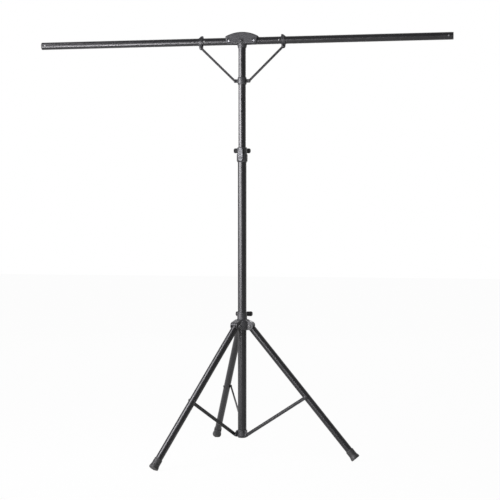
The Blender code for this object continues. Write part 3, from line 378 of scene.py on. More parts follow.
inner_nylon = moulded_nylon(
    "inner_nylon", (0.012, 0.012, 0.013, 1), (0.02, 0.02, 0.021, 1), 0.46, 0.004 * mm
)
bore = COLUMN_RADIUS - TUBE_WALL - FIT
cup = [(0, -PLUG_LIP), (COLUMN_RADIUS - 4 * mm, -PLUG_LIP)]
cup += bend(
    (COLUMN_RADIUS - 2 * mm, -PLUG_LIP),
    (COLUMN_RADIUS - 0.8 * mm, -PLUG_LIP),
    (COLUMN_RADIUS, -PLUG_LIP + 0.8 * mm),
    (COLUMN_RADIUS, -1.2 * mm),
)
cup += [(COLUMN_RADIUS, -FIT), (bore, -FIT), (bore, PLUG_DEPTH - 1 * mm)]
cup += [(bore - 0.8 * mm, PLUG_DEPTH), (bore - PLUG_WALL, PLUG_DEPTH), (bore - PLUG_WALL, 0)]
plug = placed(spun("column_plug", cup + [(0, 0)]), shifted(0, 0, COLUMN_LOW))
dressed(smooth(plug), inner_nylon, "column", "inner_nylon", "lower_tube_plug")

# Brace collar. A nylon ring fixed on the mast's foot by one screw, with three lugs, each beside
# the middle plane of its leg, for the pins that the braces turn on. Ring and lugs are joined,
# bored for the mast and drilled, and the edges are rounded as the mould leaves them.
LEG_BEARINGS = (0, radians(120), radians(240))
BRACE_PIN = Vector((22, 85)) * mm
COLLAR_LOW = 79 * mm
COLLAR_HIGH = 104 * mm
COLLAR_RADIUS = 21 * mm
COLLAR_CHAMFER = 1 * mm
LUG_LOW = 8 * mm
LUG_HIGH = 15.5 * mm
LUG_RADIUS = 7.5 * mm
LUG_PIN_DEPTH = 6.3 * mm
COLLAR_SCREW_BEARING = radians(300)
COLLAR_SCREW_Z = 98 * mm


def arc(x, y, radius, start, end, steps=16):
    """Points on a round stretch of an outline."""
    angles = [start + (end - start) * step / steps for step in range(steps + 1)]
    return [(x + radius * cos(angle), y + radius * sin(angle)) for angle in angles]


def slab(name, outline, low, high, place=Matrix(), rim=0.0):
    """A flat piece: its outline filled and extruded, and its upper rim rounded if asked."""
    piece = drawn(name, [(x, y, low) for x, y in outline], True)
    bpy.ops.mesh.edge_face_add()
    bpy.ops.mesh.extrude_region_move(TRANSFORM_OT_translate={"value": (0, 0, high - low)})
    if rim:
        mesh = bmesh.from_edit_mesh(piece.data)
        level = max(vert.co.z for vert in mesh.verts) - WELD
        bpy.ops.mesh.select_all(action="DESELECT")
        bpy.ops.mesh.select_mode(type="EDGE")
        for edge in mesh.edges:
            edge.select_set(all(vert.co.z > level for vert in edge.verts))
        bmesh.update_edit_mesh(piece.data)
        bpy.ops.mesh.bevel(offset=rim, segments=6, profile=0.5, affect="EDGES")
        bpy.ops.mesh.select_mode(type="VERT")
    return placed(closed_up(piece), place)


def eased(piece, width, angle=radians(30), segments=3):
    """Round the edges of a carved piece, and shade it smooth."""
    opened(piece)
    bpy.ops.mesh.remove_doubles(threshold=10 * WELD)
    bpy.ops.mesh.dissolve_limited(angle_limit=radians(0.6))
    bpy.ops.object.mode_set(mode="OBJECT")
    rounding = piece.modifiers.new("rounding", "BEVEL")
    rounding.width = width
    rounding.segments = segments
    rounding.limit_method = "ANGLE"
    rounding.angle_limit = angle
    rounding.use_clamp_overlap = False
    bpy.ops.object.modifier_apply(modifier=rounding.name)
    return smooth(piece)


def side_view(bearing, height=0):
    """A place to draw side views in: X points away from the mast, Y up and Z across."""
    out = Vector((cos(bearing), sin(bearing), 0))
    return framed(UP * height, out, out.cross(UP))


nylon = moulded_nylon("moulded_nylon", (0.02, 0.0203, 0.022, 1), (0.029, 0.0295, 0.032, 1), 0.4)
ring = [(0, COLLAR_LOW), (COLLAR_RADIUS - COLLAR_CHAMFER, COLLAR_LOW)]
ring += [(COLLAR_RADIUS, COLLAR_LOW + COLLAR_CHAMFER)]
ring += [(COLLAR_RADIUS, COLLAR_HIGH - COLLAR_CHAMFER)]
ring += [(COLLAR_RADIUS - COLLAR_CHAMFER, COLLAR_HIGH), (0, COLLAR_HIGH)]
lug = arc(*BRACE_PIN, LUG_RADIUS, -pi / 2, pi / 4)
lug += [(COLLAR_RADIUS - COLLAR_CHAMFER, COLLAR_HIGH - COLLAR_CHAMFER)]
lug += [(0, COLLAR_HIGH - COLLAR_CHAMFER), (0, BRACE_PIN.y - LUG_RADIUS)]
brace_collar = spun("brace_collar_moulding", ring)
leg_planes = [side_view(bearing) for bearing in LEG_BEARINGS]
for plane in leg_planes:
    joined(brace_collar, slab("lug", lug, LUG_LOW, LUG_HIGH, plane))
column_bore = COLUMN_RADIUS + FIT
drilled(brace_collar, column_bore, 0, 2 * COLLAR_HIGH, sides=64)
ways = [plane @ shifted(*BRACE_PIN, 0) for plane in leg_planes]
drilled(brace_collar, RIVET_HOLE, LUG_HIGH - LUG_PIN_DEPTH, 2 * LUG_HIGH, *ways)
way = facing(COLLAR_SCREW_BEARING, COLLAR_SCREW_Z)
drilled(brace_collar, SCREW_HOLE, 0, 2 * COLLAR_RADIUS, way)
eased(brace_collar, 0.6 * mm)
dressed(brace_collar, nylon, "column", "moulded_nylon", "brace_collar")

# Braces of the tripod. Flat steel straps, 14 by 3 mm, with a rib pressed along the middle and a
# rivet at each end, painted black. One is made beside leg 1 and copied round the mast.
LEG_RADIUS = 14 * mm
LEG_SPREAD = radians(40)
LEG_PIVOT = Vector((35, 527)) * mm
BRACE_ON_LEG = 364 * mm
BRACE_WIDTH = 14 * mm
BRACE_THICKNESS = 3 * mm
RIB_WIDTH = 5 * mm
RIB_HEIGHT = 1.2 * mm
RIB_MARGIN = 24 * mm
RIB_ROUNDING = 0.9 * mm
STRAP_INNER = 15.8 * mm


def flat_bar(length, width):
    """The outline of a bar with round ends about (0, 0) and (length, 0)."""
    end = arc(length, 0, width / 2, -pi / 2, pi / 2)
    return end + arc(0, 0, width / 2, pi / 2, 3 * pi / 2)


def copied(piece, name, place):
    """A copy of a finished shape at another place, with a mesh of its own."""
    chosen(piece)
    bpy.ops.object.duplicate()
    twin = bpy.context.object
    twin.name = name
    return placed(twin, place)


def three(piece):
    """A finished piece of leg 1 and its copies for legs 2 and 3, each named by its number."""
    stem = piece.name.removesuffix("1")
    others = enumerate(LEG_BEARINGS[1:], 2)
    turns = [(f"{stem}{number}", Matrix.Rotation(bearing, 4, "Z")) for number, bearing in others]
    return [piece] + [copied(piece, name, turn) for name, turn in turns]


leg_down = Vector((sin(LEG_SPREAD), -cos(LEG_SPREAD)))
brace_top = LEG_PIVOT + leg_down * BRACE_ON_LEG
rise = brace_top - BRACE_PIN
strap_place = leg_planes[0] @ framed((*BRACE_PIN, 0), (*rise, 0), UP)
strap_outer = STRAP_INNER + BRACE_THICKNESS
strap = slab("brace_strap_1", flat_bar(rise.length, BRACE_WIDTH), STRAP_INNER, strap_outer)
rib = flat_bar(rise.length - 2 * RIB_MARGIN, RIB_WIDTH)
rib_place = shifted(RIB_MARGIN, 0, 0)
rib_top = strap_outer + RIB_HEIGHT
joined(strap, slab("rib", rib, STRAP_INNER + 1 * mm, rib_top, rib_place, RIB_ROUNDING))
drilled(strap, RIVET_HOLE, 0, 2 * strap_outer, shifted(0, 0, 0), shifted(rise.length, 0, 0))
placed(eased(strap, 0.35 * mm, radians(50), 2), strap_place)
strap_paint = satin_paint("strap_paint", strap_place)
for number, strap in enumerate(three(strap), 1):
    dressed(strap, strap_paint, f"leg_brace_{number}", "strap_steel", f"brace_{number}")

# Sliding hub. One nylon moulding that slides on the lower tube: a neck, a dome and three forks
# with closed roofs, in which the legs turn, and a boss behind for the clamp knob's screw. The
# dome is spun, the forks are joined to it, and the slots, the bore and the bolt holes are cut.
HUB_NECK = 20 * mm
HUB_DOME = 33 * mm
HUB_BOTTOM = 512 * mm
HUB_NECK_FOOT = 554 * mm
HUB_TOP = 583 * mm
FORK_RADIUS = 15 * mm
FORK_HALF = 18 * mm
SLOT_HALF = 14.4 * mm
LEG_OVERHANG = 4 * mm
BOLT_HOLE = 3.3 * mm
KNOB_HOLE = 4.3 * mm
KNOB_BOSS_RADIUS = 8 * mm
KNOB_BOSS_REACH = 28 * mm
HUB_KNOB_BEARING = radians(98)
HUB_KNOB_Z = 573 * mm
px, pz = LEG_PIVOT
dome = [(0, HUB_BOTTOM)]
dome += bend(
    (HUB_DOME - 4 * mm, HUB_BOTTOM),
    (HUB_DOME - 1.5 * mm, HUB_BOTTOM),
    (HUB_DOME, HUB_BOTTOM + 1.5 * mm),
    (HUB_DOME, HUB_BOTTOM + 4 * mm),
    6,
)
dome += bend(
    (HUB_DOME, pz + 10.5 * mm),
    (HUB_DOME, pz + 18 * mm),
    (HUB_DOME - 3.5 * mm, pz + 23 * mm),
    (HUB_NECK + 4 * mm, HUB_NECK_FOOT - 0.5 * mm),
    10,
)
dome += bend(
    (HUB_NECK + 3.6 * mm, HUB_NECK_FOOT - 0.3 * mm),
    (HUB_NECK + 1.5 * mm, HUB_NECK_FOOT + 0.5 * mm),
    (HUB_NECK, HUB_NECK_FOOT + 2 * mm),
    (HUB_NECK, HUB_NECK_FOOT + 4 * mm),
    6,
)
dome += [(HUB_NECK, HUB_TOP - 1 * mm), (HUB_NECK - 1 * mm, HUB_TOP), (0, HUB_TOP)]
hub = spun("hub_moulding", dome, 96)
swing = hypot(LEG_RADIUS, LEG_OVERHANG) + 0.4 * mm
fork = arc(px, pz, FORK_RADIUS, -pi / 2, 0)
fork += bend(
    (px + FORK_RADIUS, pz + 3 * mm),
    (px + FORK_RADIUS, pz + 10 * mm),
    (px + 12.5 * mm, pz + 14.6 * mm),
    (px + 6 * mm, pz + 17.4 * mm),
)
fork += [(HUB_NECK + 1 * mm, HUB_NECK_FOOT - 0.5 * mm), (8 * mm, HUB_NECK_FOOT - 0.5 * mm)]
fork += [(8 * mm, HUB_BOTTOM)]
mouth = Vector((cos(LEG_SPREAD), sin(LEG_SPREAD))) * swing + leg_down * 3 * FORK_RADIUS
slot = arc(px, pz, swing, pi, LEG_SPREAD, 24)
slot += [tuple(LEG_PIVOT + mouth)]
slot += [(px + 4 * FORK_RADIUS, HUB_BOTTOM - FORK_RADIUS), (px - swing, HUB_BOTTOM - FORK_RADIUS)]
for plane in leg_planes:
    joined(hub, slab("fork", fork, -FORK_HALF, FORK_HALF, plane))
hub_knob_way = facing(HUB_KNOB_BEARING, HUB_KNOB_Z)
joined(hub, peg(KNOB_BOSS_RADIUS, 8 * mm, KNOB_BOSS_REACH, hub_knob_way, 48))
drilled(hub, column_bore, HUB_BOTTOM - 9 * mm, HUB_TOP + 9 * mm, sides=64)
for plane in leg_planes:
    cut(hub, slab("slot", slot, -SLOT_HALF, SLOT_HALF, plane))
leg_pivot = shifted(px, pz, 0)
ways = [plane @ leg_pivot for plane in leg_planes]
drilled(hub, BOLT_HOLE, -2 * FORK_HALF, 2 * FORK_HALF, *ways)
drilled(hub, KNOB_HOLE, 8 * mm, 2 * KNOB_BOSS_REACH, hub_knob_way)
eased(hub, 0.8 * mm)
dressed(hub, nylon, "sliding_hub", "moulded_nylon", "hub")

# Legs. Steel tube of 28 mm with a 1.2 mm wall, drilled across for the pivot bolt in the hub and
# for the brace's bolt, and painted like the mast. Leg 1 is made and then copied round the mast.
LEG_WALL = 1.2 * mm
SOLE = 6 * mm
SLEEVE = 36 * mm
BOOT_BORE = LEG_RADIUS + FIT
BOOT_SLEEVE = 16.2 * mm
BOOT_FLARE = 18.9 * mm
BOOT_CHAMFER = 1.6 * mm
WORN_DEPTH = 1.6 * mm
RUBBED_LEG = 200 * mm


def along_leg(bearing):
    """A leg's own place: Z runs down the leg from its pivot and X across it."""
    out = Vector((cos(bearing), sin(bearing), 0))
    across = Vector((-sin(bearing), cos(bearing), 0))
    down = out * leg_down.x + UP * leg_down.y
    return framed(out * LEG_PIVOT.x + UP * LEG_PIVOT.y, across, down)


sole_edge = BOOT_FLARE - BOOT_CHAMFER
leg_tip = (LEG_PIVOT.y + WORN_DEPTH - sole_edge * sin(LEG_SPREAD)) / cos(LEG_SPREAD)
leg_end = leg_tip - SOLE - FIT
sideways = Matrix.Rotation(pi / 2, 4, "Y")
leg = tube("leg_1", LEG_RADIUS, LEG_WALL, -LEG_OVERHANG, leg_end)
ways = [shifted(0, 0, distance) @ sideways for distance in (0, BRACE_ON_LEG)]
drilled(leg, BOLT_HOLE, -2 * LEG_RADIUS, 2 * LEG_RADIUS, *ways)
placed(smooth(leg), along_leg(0))
for number, leg in enumerate(three(leg), 1):
    run = along_leg(LEG_BEARINGS[number - 1])
    leg_paint = satin_paint(f"leg_{number}_paint", run, (leg_end - RUBBED_LEG, leg_end))
    dressed(leg, leg_paint, f"leg_{number}", "tube_steel", f"leg_tube_{number}")

# Rubber feet. A boot pushed over the end of each leg, with a thin mouth and a flared sole
# that is worn flat where it stands. It is spun, put on its leg and cut at the floor.


def trimmed(piece, level):
    """Keep what lies above a level, and close the cut."""
    opened(piece)
    bpy.ops.mesh.bisect(plane_co=(0, 0, level), plane_no=UP, use_fill=True, clear_inner=True)
    bpy.ops.object.mode_set(mode="OBJECT")
    return piece


lip = leg_end - SLEEVE
boot = [(0, leg_end + FIT), (BOOT_BORE, leg_end + FIT), (BOOT_BORE, lip)]
boot += bend(
    (BOOT_BORE + 0.4 * mm, lip),
    (BOOT_SLEEVE - 0.6 * mm, lip),
    (BOOT_SLEEVE, lip + 0.8 * mm),
    (BOOT_SLEEVE, lip + 2.4 * mm),
    6,
)
boot += bend(
    (BOOT_SLEEVE, leg_end - 14 * mm),
    (BOOT_SLEEVE + 0.2 * mm, leg_end - 8 * mm),
    (BOOT_FLARE, leg_end - 4 * mm),
    (BOOT_FLARE, leg_end + 1.8 * mm),
    12,
)
boot += bend(
    (BOOT_FLARE, leg_tip - 2.6 * mm),
    (BOOT_FLARE, leg_tip - 1.1 * mm),
    (BOOT_FLARE - 0.9 * mm, leg_tip),
    (sole_edge - 0.8 * mm, leg_tip),
    6,
)
foot = placed(spun("foot_boot_1", boot + [(0, leg_tip)]), along_leg(0))
smooth(trimmed(foot, 0))

rubber, shader, spot = material_on("foot_rubber")
bloom = spot.noise(60.0, 4.0)
crumb = spot.noise(900.0, 3.0)
dust = (1 - spot.part("Z").between(1 * mm, 16 * mm)) * bloom.between(0.35, 0.65)
black_rubber = bloom.between(0.3, 0.7).blended((0.013, 0.013, 0.013, 1), (0.021, 0.021, 0.021, 1))
(dust * 0.5).blended(black_rubber, (0.09, 0.085, 0.078, 1)).into(shader, "Base Color")
(dust * 0.12 + crumb * 0.1 + 0.5).into(shader, "Roughness")
crumb.raised(0.04 * mm).into(shader, "Normal")
for number, foot in enumerate(three(foot), 1):
    dressed(foot, rubber, f"leg_{number}", "foot_rubber", f"foot_{number}")

# Locking collar. A nylon moulding pressed over the top of the lower tube and held by a screw in
# the flat pad at the front, which a thin pale plate covers; the plate's light grey is partly a
# painted highlight, the softbox's reflection on the pad. Its narrower neck holds a sleeve, which
# the rear knob's screw presses on the upper tube.
LOCK_BODY = 22 * mm
LOCK_NECK = 19.5 * mm
LOCK_BOTTOM = -37 * mm
LOCK_TOP = 24 * mm
PAD_REACH = 23.4 * mm
PAD_HALF = 9.5 * mm
PAD_MARGIN = 5 * mm
PLATE_LOW = PAD_REACH + 0.02 * mm
PLATE_HIGH = PAD_REACH + 0.6 * mm
PLATE_HOLE = 4.9 * mm
MAST_RADIUS = 15 * mm
SLEEVE_RADIUS = 16.9 * mm
SLEEVE_WALL = 1.6 * mm
LOCK_KNOB_BEARING = radians(106)
LOCK_KNOB_Z = COLUMN_TOP + 14 * mm


def rounded(corners):
    """An outline whose corners, each (x, y, radius), are turned by arcs."""
    points = []
    for number, (x, y, radius) in enumerate(corners):
        if not radius:
            points.append((x, y))
            continue
        here = Vector((x, y))
        back = (Vector(corners[number - 1][:2]) - here).normalized()
        ahead = (Vector(corners[(number + 1) % len(corners)][:2]) - here).normalized()
        half = back.angle(ahead) / 2
        middle = here + (back + ahead).normalized() * (radius / sin(half))
        first = here + back * (radius / tan(half)) - middle
        last = here + ahead * (radius / tan(half)) - middle
        start = Vector((1, 0)).angle_signed(first) * -1
        turn = (Vector((1, 0)).angle_signed(last) * -1 - start + pi) % (2 * pi) - pi
        points += arc(middle.x, middle.y, radius, start, start + turn, 10)
    return points


skirt = [(0, LOCK_BOTTOM), (column_bore + 0.9 * mm, LOCK_BOTTOM)]
skirt += bend(
    (LOCK_BODY - 2 * mm, LOCK_BOTTOM + 3 * mm),
    (LOCK_BODY - 0.7 * mm, LOCK_BOTTOM + 5 * mm),
    (LOCK_BODY, LOCK_BOTTOM + 6 * mm),
    (LOCK_BODY, LOCK_BOTTOM + 9 * mm),
    5,
)
skirt += bend(
    (LOCK_BODY, -5.5 * mm),
    (LOCK_BODY, -3.6 * mm),
    (LOCK_NECK, -3.6 * mm),
    (LOCK_NECK, -1.4 * mm),
    6,
)
skirt += [(LOCK_NECK, LOCK_TOP - 1 * mm), (LOCK_NECK - 1 * mm, LOCK_TOP), (0, LOCK_TOP)]
hollow = [(0, LOCK_BOTTOM - 3 * mm), (column_bore, LOCK_BOTTOM - 3 * mm), (column_bore, FIT)]
hollow += [(SLEEVE_RADIUS + FIT, FIT), (SLEEVE_RADIUS + FIT, LOCK_TOP - 3 * mm)]
hollow += [(MAST_RADIUS + FIT, LOCK_TOP - 3 * mm), (MAST_RADIUS + FIT, LOCK_TOP + 3 * mm)]
hollow += [(0, LOCK_TOP + 3 * mm)]
at_column_top = shifted(0, 0, COLUMN_TOP)
lock = placed(spun("lock_collar_moulding", skirt), at_column_top)
pad_low, pad_high = LOCK_BOTTOM + PAD_MARGIN, LOCK_TOP - PAD_MARGIN
corners = [(pad_low, -PAD_HALF), (pad_high, -PAD_HALF), (pad_high, PAD_HALF), (pad_low, PAD_HALF)]
pad = rounded([(x, y, PAD_HALF * 0.8) for x, y in corners])
pad_place = facing(PAD_BEARING, COLUMN_TOP)
lock_knob_way = facing(LOCK_KNOB_BEARING, LOCK_KNOB_Z)
joined(lock, peg(KNOB_BOSS_RADIUS, MAST_RADIUS, KNOB_BOSS_REACH, lock_knob_way, 48))
joined(lock, slab("pad", pad, MAST_RADIUS, PAD_REACH, pad_place))
cut(lock, placed(spun("hollow", hollow, 72), at_column_top))
pad_screw_way = facing(PAD_BEARING, PAD_SCREW_Z)
drilled(lock, KNOB_HOLE, MAST_RADIUS, 2 * KNOB_BOSS_REACH, lock_knob_way)
drilled(lock, SCREW_HOLE, MAST_RADIUS, 2 * PAD_REACH, pad_screw_way)
eased(lock, 0.7 * mm)
dressed(lock, nylon, "column", "moulded_nylon", "lock_collar")

plate_outline = rounded([(x, y * 0.93, PAD_HALF * 0.86) for x, y in corners])
pad_plate = slab("pad_plate", plate_outline, PLATE_LOW, PLATE_HIGH)
drilled(pad_plate, PLATE_HOLE, 0, 100 * mm, pad_place.inverted() @ pad_screw_way)
placed(eased(pad_plate, 0.2 * mm), pad_place)
# The plate's light grey is partly its own colour and partly a painted highlight: the softbox's
# reflection on the flat pad.
pale, shader, spot = material_on("pale_plate", pad_place)
worn = spot.noise(160.0, 4.0)
grained = spot.stretched((60, 1500, 60)).noise(1.0, 2.0)
plate_grey_and_painted_highlight = worn.between(0.35, 0.7).blended((0.1, 0.103, 0.11, 1), (0.14, 0.143, 0.15, 1))
plate_grey_and_painted_highlight.into(shader, "Base Color")
(worn * 0.1 + grained * 0.08 + 0.42).into(shader, "Roughness")
grained.raised(0.004 * mm).into(shader, "Normal")
dressed(pad_plate, pale, "column", "zinc_steel")

sleeve = tube("lock_collar_sleeve", SLEEVE_RADIUS, SLEEVE_WALL, 2 * FIT, LOCK_TOP - 3.3 * mm)
placed(smooth(sleeve), at_column_top)
dressed(sleeve, inner_nylon, "column", "inner_nylon", "lock_sleeve")

# Clamp knobs. Two T-shaped nylon knobs of 70 mm span, one behind the hub and one behind the
# locking collar. The handle is a flat bar with round corners, a little narrower in the middle,
# with a pocket in each face of each wing. It stands on a waisted stem round a steel screw.
KNOB_HALF = 35 * mm
KNOB_WING = 10 * mm
KNOB_WAIST = 8.5 * mm
KNOB_CORNER = 7.5 * mm
BLADE_START = 53.5 * mm
BLADE_END = 62.5 * mm
STEM = 9 * mm
STEM_START = KNOB_BOSS_REACH + FIT
SCREW_RADIUS = 4 * mm
SCREW_GRIP = 20 * mm
POCKET_START = 12.5 * mm
POCKET_RIM = 3.2 * mm
POCKET_DEPTH = 1.5 * mm

knob_nylon = moulded_nylon(
    "knob_nylon", (0.014, 0.014, 0.0145, 1), (0.021, 0.021, 0.022, 1), 0.44, 0.005 * mm
)
side, far = KNOB_WING - KNOB_CORNER, KNOB_HALF - KNOB_CORNER
wings = arc(side, far, KNOB_CORNER, 0, pi / 2) + arc(-side, far, KNOB_CORNER, pi / 2, pi)
wings += [(-KNOB_WAIST, 0)] + arc(-side, -far, KNOB_CORNER, pi, 3 * pi / 2)
wings += arc(side, -far, KNOB_CORNER, 3 * pi / 2, 2 * pi) + [(KNOB_WAIST, 0)]
handle = slab("knob_handle", wings, BLADE_START, BLADE_END)
stem = [(0, STEM_START), (STEM, STEM_START)]
stem += bend(
    (STEM, STEM_START + 1 * mm),
    (STEM * 0.72, STEM_START + 8 * mm),
    (STEM * 0.72, BLADE_START - 8 * mm),
    (STEM, BLADE_START + 2 * mm),
    12,
)
stem += [(STEM, BLADE_END - 3 * mm), (STEM * 0.7, BLADE_END + 1 * mm), (0, BLADE_END + 1 * mm)]
joined(handle, spun("stem", stem, 48))
root = KNOB_WAIST + (KNOB_WING - KNOB_WAIST) * POCKET_START / far - POCKET_RIM
pocket = arc(side, far, KNOB_CORNER - POCKET_RIM, 0, pi / 2, 10)
pocket += arc(-side, far, KNOB_CORNER - POCKET_RIM, pi / 2, pi, 10)
pocket += [(-root, POCKET_START), (root, POCKET_START)]
for face in (BLADE_START, BLADE_END):
    for turn in (0, pi):
        wing = Matrix.Rotation(turn, 4, "Z")
        low, high = face - POCKET_DEPTH, face + POCKET_DEPTH
        cut(handle, slab("pocket", pocket, low, high, wing))
screw_end = STEM_START + SCREW_GRIP
drilled(handle, KNOB_HOLE, 0, screw_end + FIT)
eased(handle, 0.9 * mm, radians(35))


def clamp_screw(name, tip):
    """The screw of a clamp knob, from its point to its end in the handle."""
    point = SCREW_RADIUS * 0.6
    shape = [(0, tip), (point, tip), (SCREW_RADIUS, tip + SCREW_RADIUS - point)]
    return smooth(spun(name, shape + [(SCREW_RADIUS, screw_end), (0, screw_end)], 32))


def plated(name, dark, light, gloss):
    """Zinc plate: a soft sheen and a fine brushed grain on bare metal."""
    material, shader, spot = material_on(name)
    sheen = spot.noise(45.0, 3.0)
    brushed = spot.noise(1300.0, 2.0)
    sheen.between(0.3, 0.7).blended(dark, light).into(shader, "Base Color")
    (sheen * 0.12 + brushed * 0.1 + gloss).into(shader, "Roughness")
    brushed.raised(0.01 * mm).into(shader, "Normal")
    shader.inputs["Metallic"].default_value = 1.0
    return material


zinc = plated("zinc_plate", (0.27, 0.275, 0.29, 1), (0.36, 0.36, 0.35, 1), 0.38)
dull_zinc = plated("dull_zinc", (0.13, 0.132, 0.137, 1), (0.18, 0.18, 0.177, 1), 0.44)
lock_screw = placed(clamp_screw("lock_knob_stud", SLEEVE_RADIUS + FIT), lock_knob_way)
hub_screw = placed(clamp_screw("hub_knob_stud", COLUMN_RADIUS + FIT), hub_knob_way)
lock_handle = copied(handle, "lock_knob_handle", lock_knob_way)
hub_handle = placed(handle, hub_knob_way)
hub_handle.name = "hub_knob_handle"
dressed(hub_handle, knob_nylon, "hub_clamp_knob", "moulded_nylon", "hub_knob")
dressed(lock_handle, knob_nylon, "mast_clamp_knob", "moulded_nylon", "lock_knob")
dressed(hub_screw, zinc, "hub_clamp_knob", "zinc_steel", "hub_knob_screw")
dressed(lock_screw, zinc, "mast_clamp_knob", "zinc_steel", "lock_knob_screw")

# Upper mast tube. Steel tube of 30 mm that slides and turns in the lower one. It has a cross hole
# for the head's bolt and three pin holes at the front, in line with the crossbar's face, and its
# paint is rubbed above the locking collar. A nylon bush on its foot guides it.
BAR_BEARING = radians(6.5)
BAR_Z = 1682 * mm
PIN_DROPS = (80 * mm, 238 * mm, 284 * mm)
PIN_HOLE = 2.8 * mm
MAST_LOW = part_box("upper_tube")[0].z
MAST_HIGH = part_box("upper_tube")[1].z
BUSH_RADIUS = 15.7 * mm
BUSH_BORE = 10.2 * mm
BUSH_BODY = 14.3 * mm
BUSH_SPIGOT = 18 * mm
RUBBED_MAST = (COLUMN_TOP + 20 * mm, COLUMN_TOP + 300 * mm)

bar_view = side_view(BAR_BEARING, BAR_Z)
mast = tube("mast_tube", MAST_RADIUS, TUBE_WALL, MAST_LOW, MAST_HIGH)
ways = [bar_view @ shifted(0, -drop, 0) for drop in PIN_DROPS]
drilled(mast, PIN_HOLE, 0, 2 * MAST_RADIUS, *ways)
drilled(mast, BOLT_HOLE, -2 * MAST_RADIUS, 2 * MAST_RADIUS, bar_view)
smooth(mast)
mast_paint = satin_paint("mast_paint", rubbed=RUBBED_MAST)
dressed(mast, mast_paint, "mast", "tube_steel", "upper_tube")

spigot = MAST_RADIUS - TUBE_WALL - FIT
bush = [(BUSH_RADIUS, -BUSH_BODY), (BUSH_RADIUS, -FIT), (spigot, -FIT)]
bush += [(spigot, BUSH_SPIGOT - 1 * mm), (spigot - 1 * mm, BUSH_SPIGOT)]
bush += [(BUSH_BORE, BUSH_SPIGOT), (BUSH_BORE, -BUSH_BODY)]
guide = spun("mast_bush", bush, ring=True)
placed(smooth(guide), shifted(0, 0, MAST_LOW))
dressed(guide, inner_nylon, "mast_guide", "inner_nylon", "mast_guide_bush")

# Head. Two nylon shells, front and back, bolted together round the mast's top and the inner ends
# of both arms. Each is a cheek with a rounded rim, an arched roof and half of the mast's socket,
# with sunk seats for the arm bolts inside raised rings and a boss for the bolt through the mast.
HEAD_HALF = 67 * mm
HEAD_FOOT_HALF = 62 * mm
HEAD_TOP = 35 * mm
HEAD_SHOULDER = 18 * mm
HEAD_BOTTOM = 13 * mm
HEAD_CORNER = 11 * mm
HEAD_RIM = 4.5 * mm
CHEEK_INNER = 15.4 * mm
CHEEK_OUTER = 20.4 * mm
ROOF = 2.5 * mm
PARTING = 0.15 * mm
ARM_PIVOT = 51 * mm
SEAT_RADIUS = 7.2 * mm
SEAT = 18.4 * mm
SEAT_RING = 10.2 * mm
BOSS_RADIUS = 10 * mm
BOSS_FACE = 22 * mm
SOCKET_DROP = 28 * mm
SEAT_RIM = 0.7 * mm
MAST_IN_HEAD = 8 * mm


def head_arch(inset):
    """The arched top, inset towards the arms, from the right shoulder to the left."""
    over = HEAD_TOP - HEAD_SHOULDER
    radius = (HEAD_HALF**2 + over**2) / (2 * over)
    half_angle = Vector((radius - over, HEAD_HALF)).angle(Vector((1, 0)))
    middle = HEAD_TOP - radius
    return arc(0, middle, radius - inset, pi / 2 - half_angle, pi / 2 + half_angle, 36)


foot_line = [(x, -HEAD_BOTTOM, HEAD_CORNER) for x in (-HEAD_FOOT_HALF, HEAD_FOOT_HALF)]
outline = rounded([(x, y, 0) for x, y in head_arch(0)] + foot_line)
roof = head_arch(0) + head_arch(ROOF)[::-1]
mast_bore = MAST_RADIUS + FIT
socket = [(mast_bore, -SOCKET_DROP), (mast_bore + 1.8 * mm, -SOCKET_DROP)]
socket += bend(
    (mast_bore + 2.2 * mm, -SOCKET_DROP + 3 * mm),
    (mast_bore + 3 * mm, -SOCKET_DROP + 7 * mm),
    (mast_bore + 4.6 * mm, -HEAD_BOTTOM - 4 * mm),
    (mast_bore + 5 * mm, -HEAD_BOTTOM),
    6,
)
socket += [(mast_bore + 5 * mm, 0), (mast_bore + 1.8 * mm, MAST_IN_HEAD)]
socket += [(mast_bore, MAST_IN_HEAD)]
upright = Matrix.Rotation(-pi / 2, 4, "X")
shell = slab("head_front", outline, CHEEK_INNER, CHEEK_OUTER, rim=HEAD_RIM)
half_socket = trimmed(placed(spun("socket", socket, ring=True), upright), PARTING)
rings = [(0, CHEEK_INNER + 1 * mm), (SEAT_RING, CHEEK_INNER + 1 * mm)]
rings += [(SEAT_RING, CHEEK_OUTER), (SEAT_RING - 0.5 * mm, CHEEK_OUTER + SEAT_RIM)]
rings += [(0, CHEEK_OUTER + SEAT_RIM)]
seat_places = [shifted(side * ARM_PIVOT, 0, 0) for side in (-1, 1)]
boss = [(0, CHEEK_INNER + 1 * mm), (BOSS_RADIUS, CHEEK_INNER + 1 * mm), (BOSS_RADIUS, CHEEK_OUTER)]
boss += [(BOSS_RADIUS - 1.4 * mm, BOSS_FACE), (0, BOSS_FACE)]
joined(
    shell,
    slab("roof", roof, PARTING, CHEEK_INNER + 0.25 * mm),
    half_socket,
    *[placed(spun("ring", rings), place) for place in seat_places],
    spun("boss", boss),
)
for place in seat_places:
    drilled(shell, SEAT_RADIUS, SEAT, 2 * CHEEK_OUTER, place, sides=48)
    drilled(shell, BOLT_HOLE, 0, 2 * CHEEK_OUTER, place)
drilled(shell, BOLT_HOLE, 0, 2 * CHEEK_OUTER)
eased(shell, 0.45 * mm, radians(40), 2)
back_shell = copied(shell, "head_back", bar_view @ Matrix.Rotation(pi, 4, "Y"))
placed(shell, bar_view)
dressed(shell, nylon, "mast", "moulded_nylon", "head_shell_front")
dressed(back_shell, nylon, "mast", "moulded_nylon", "head_shell_back")

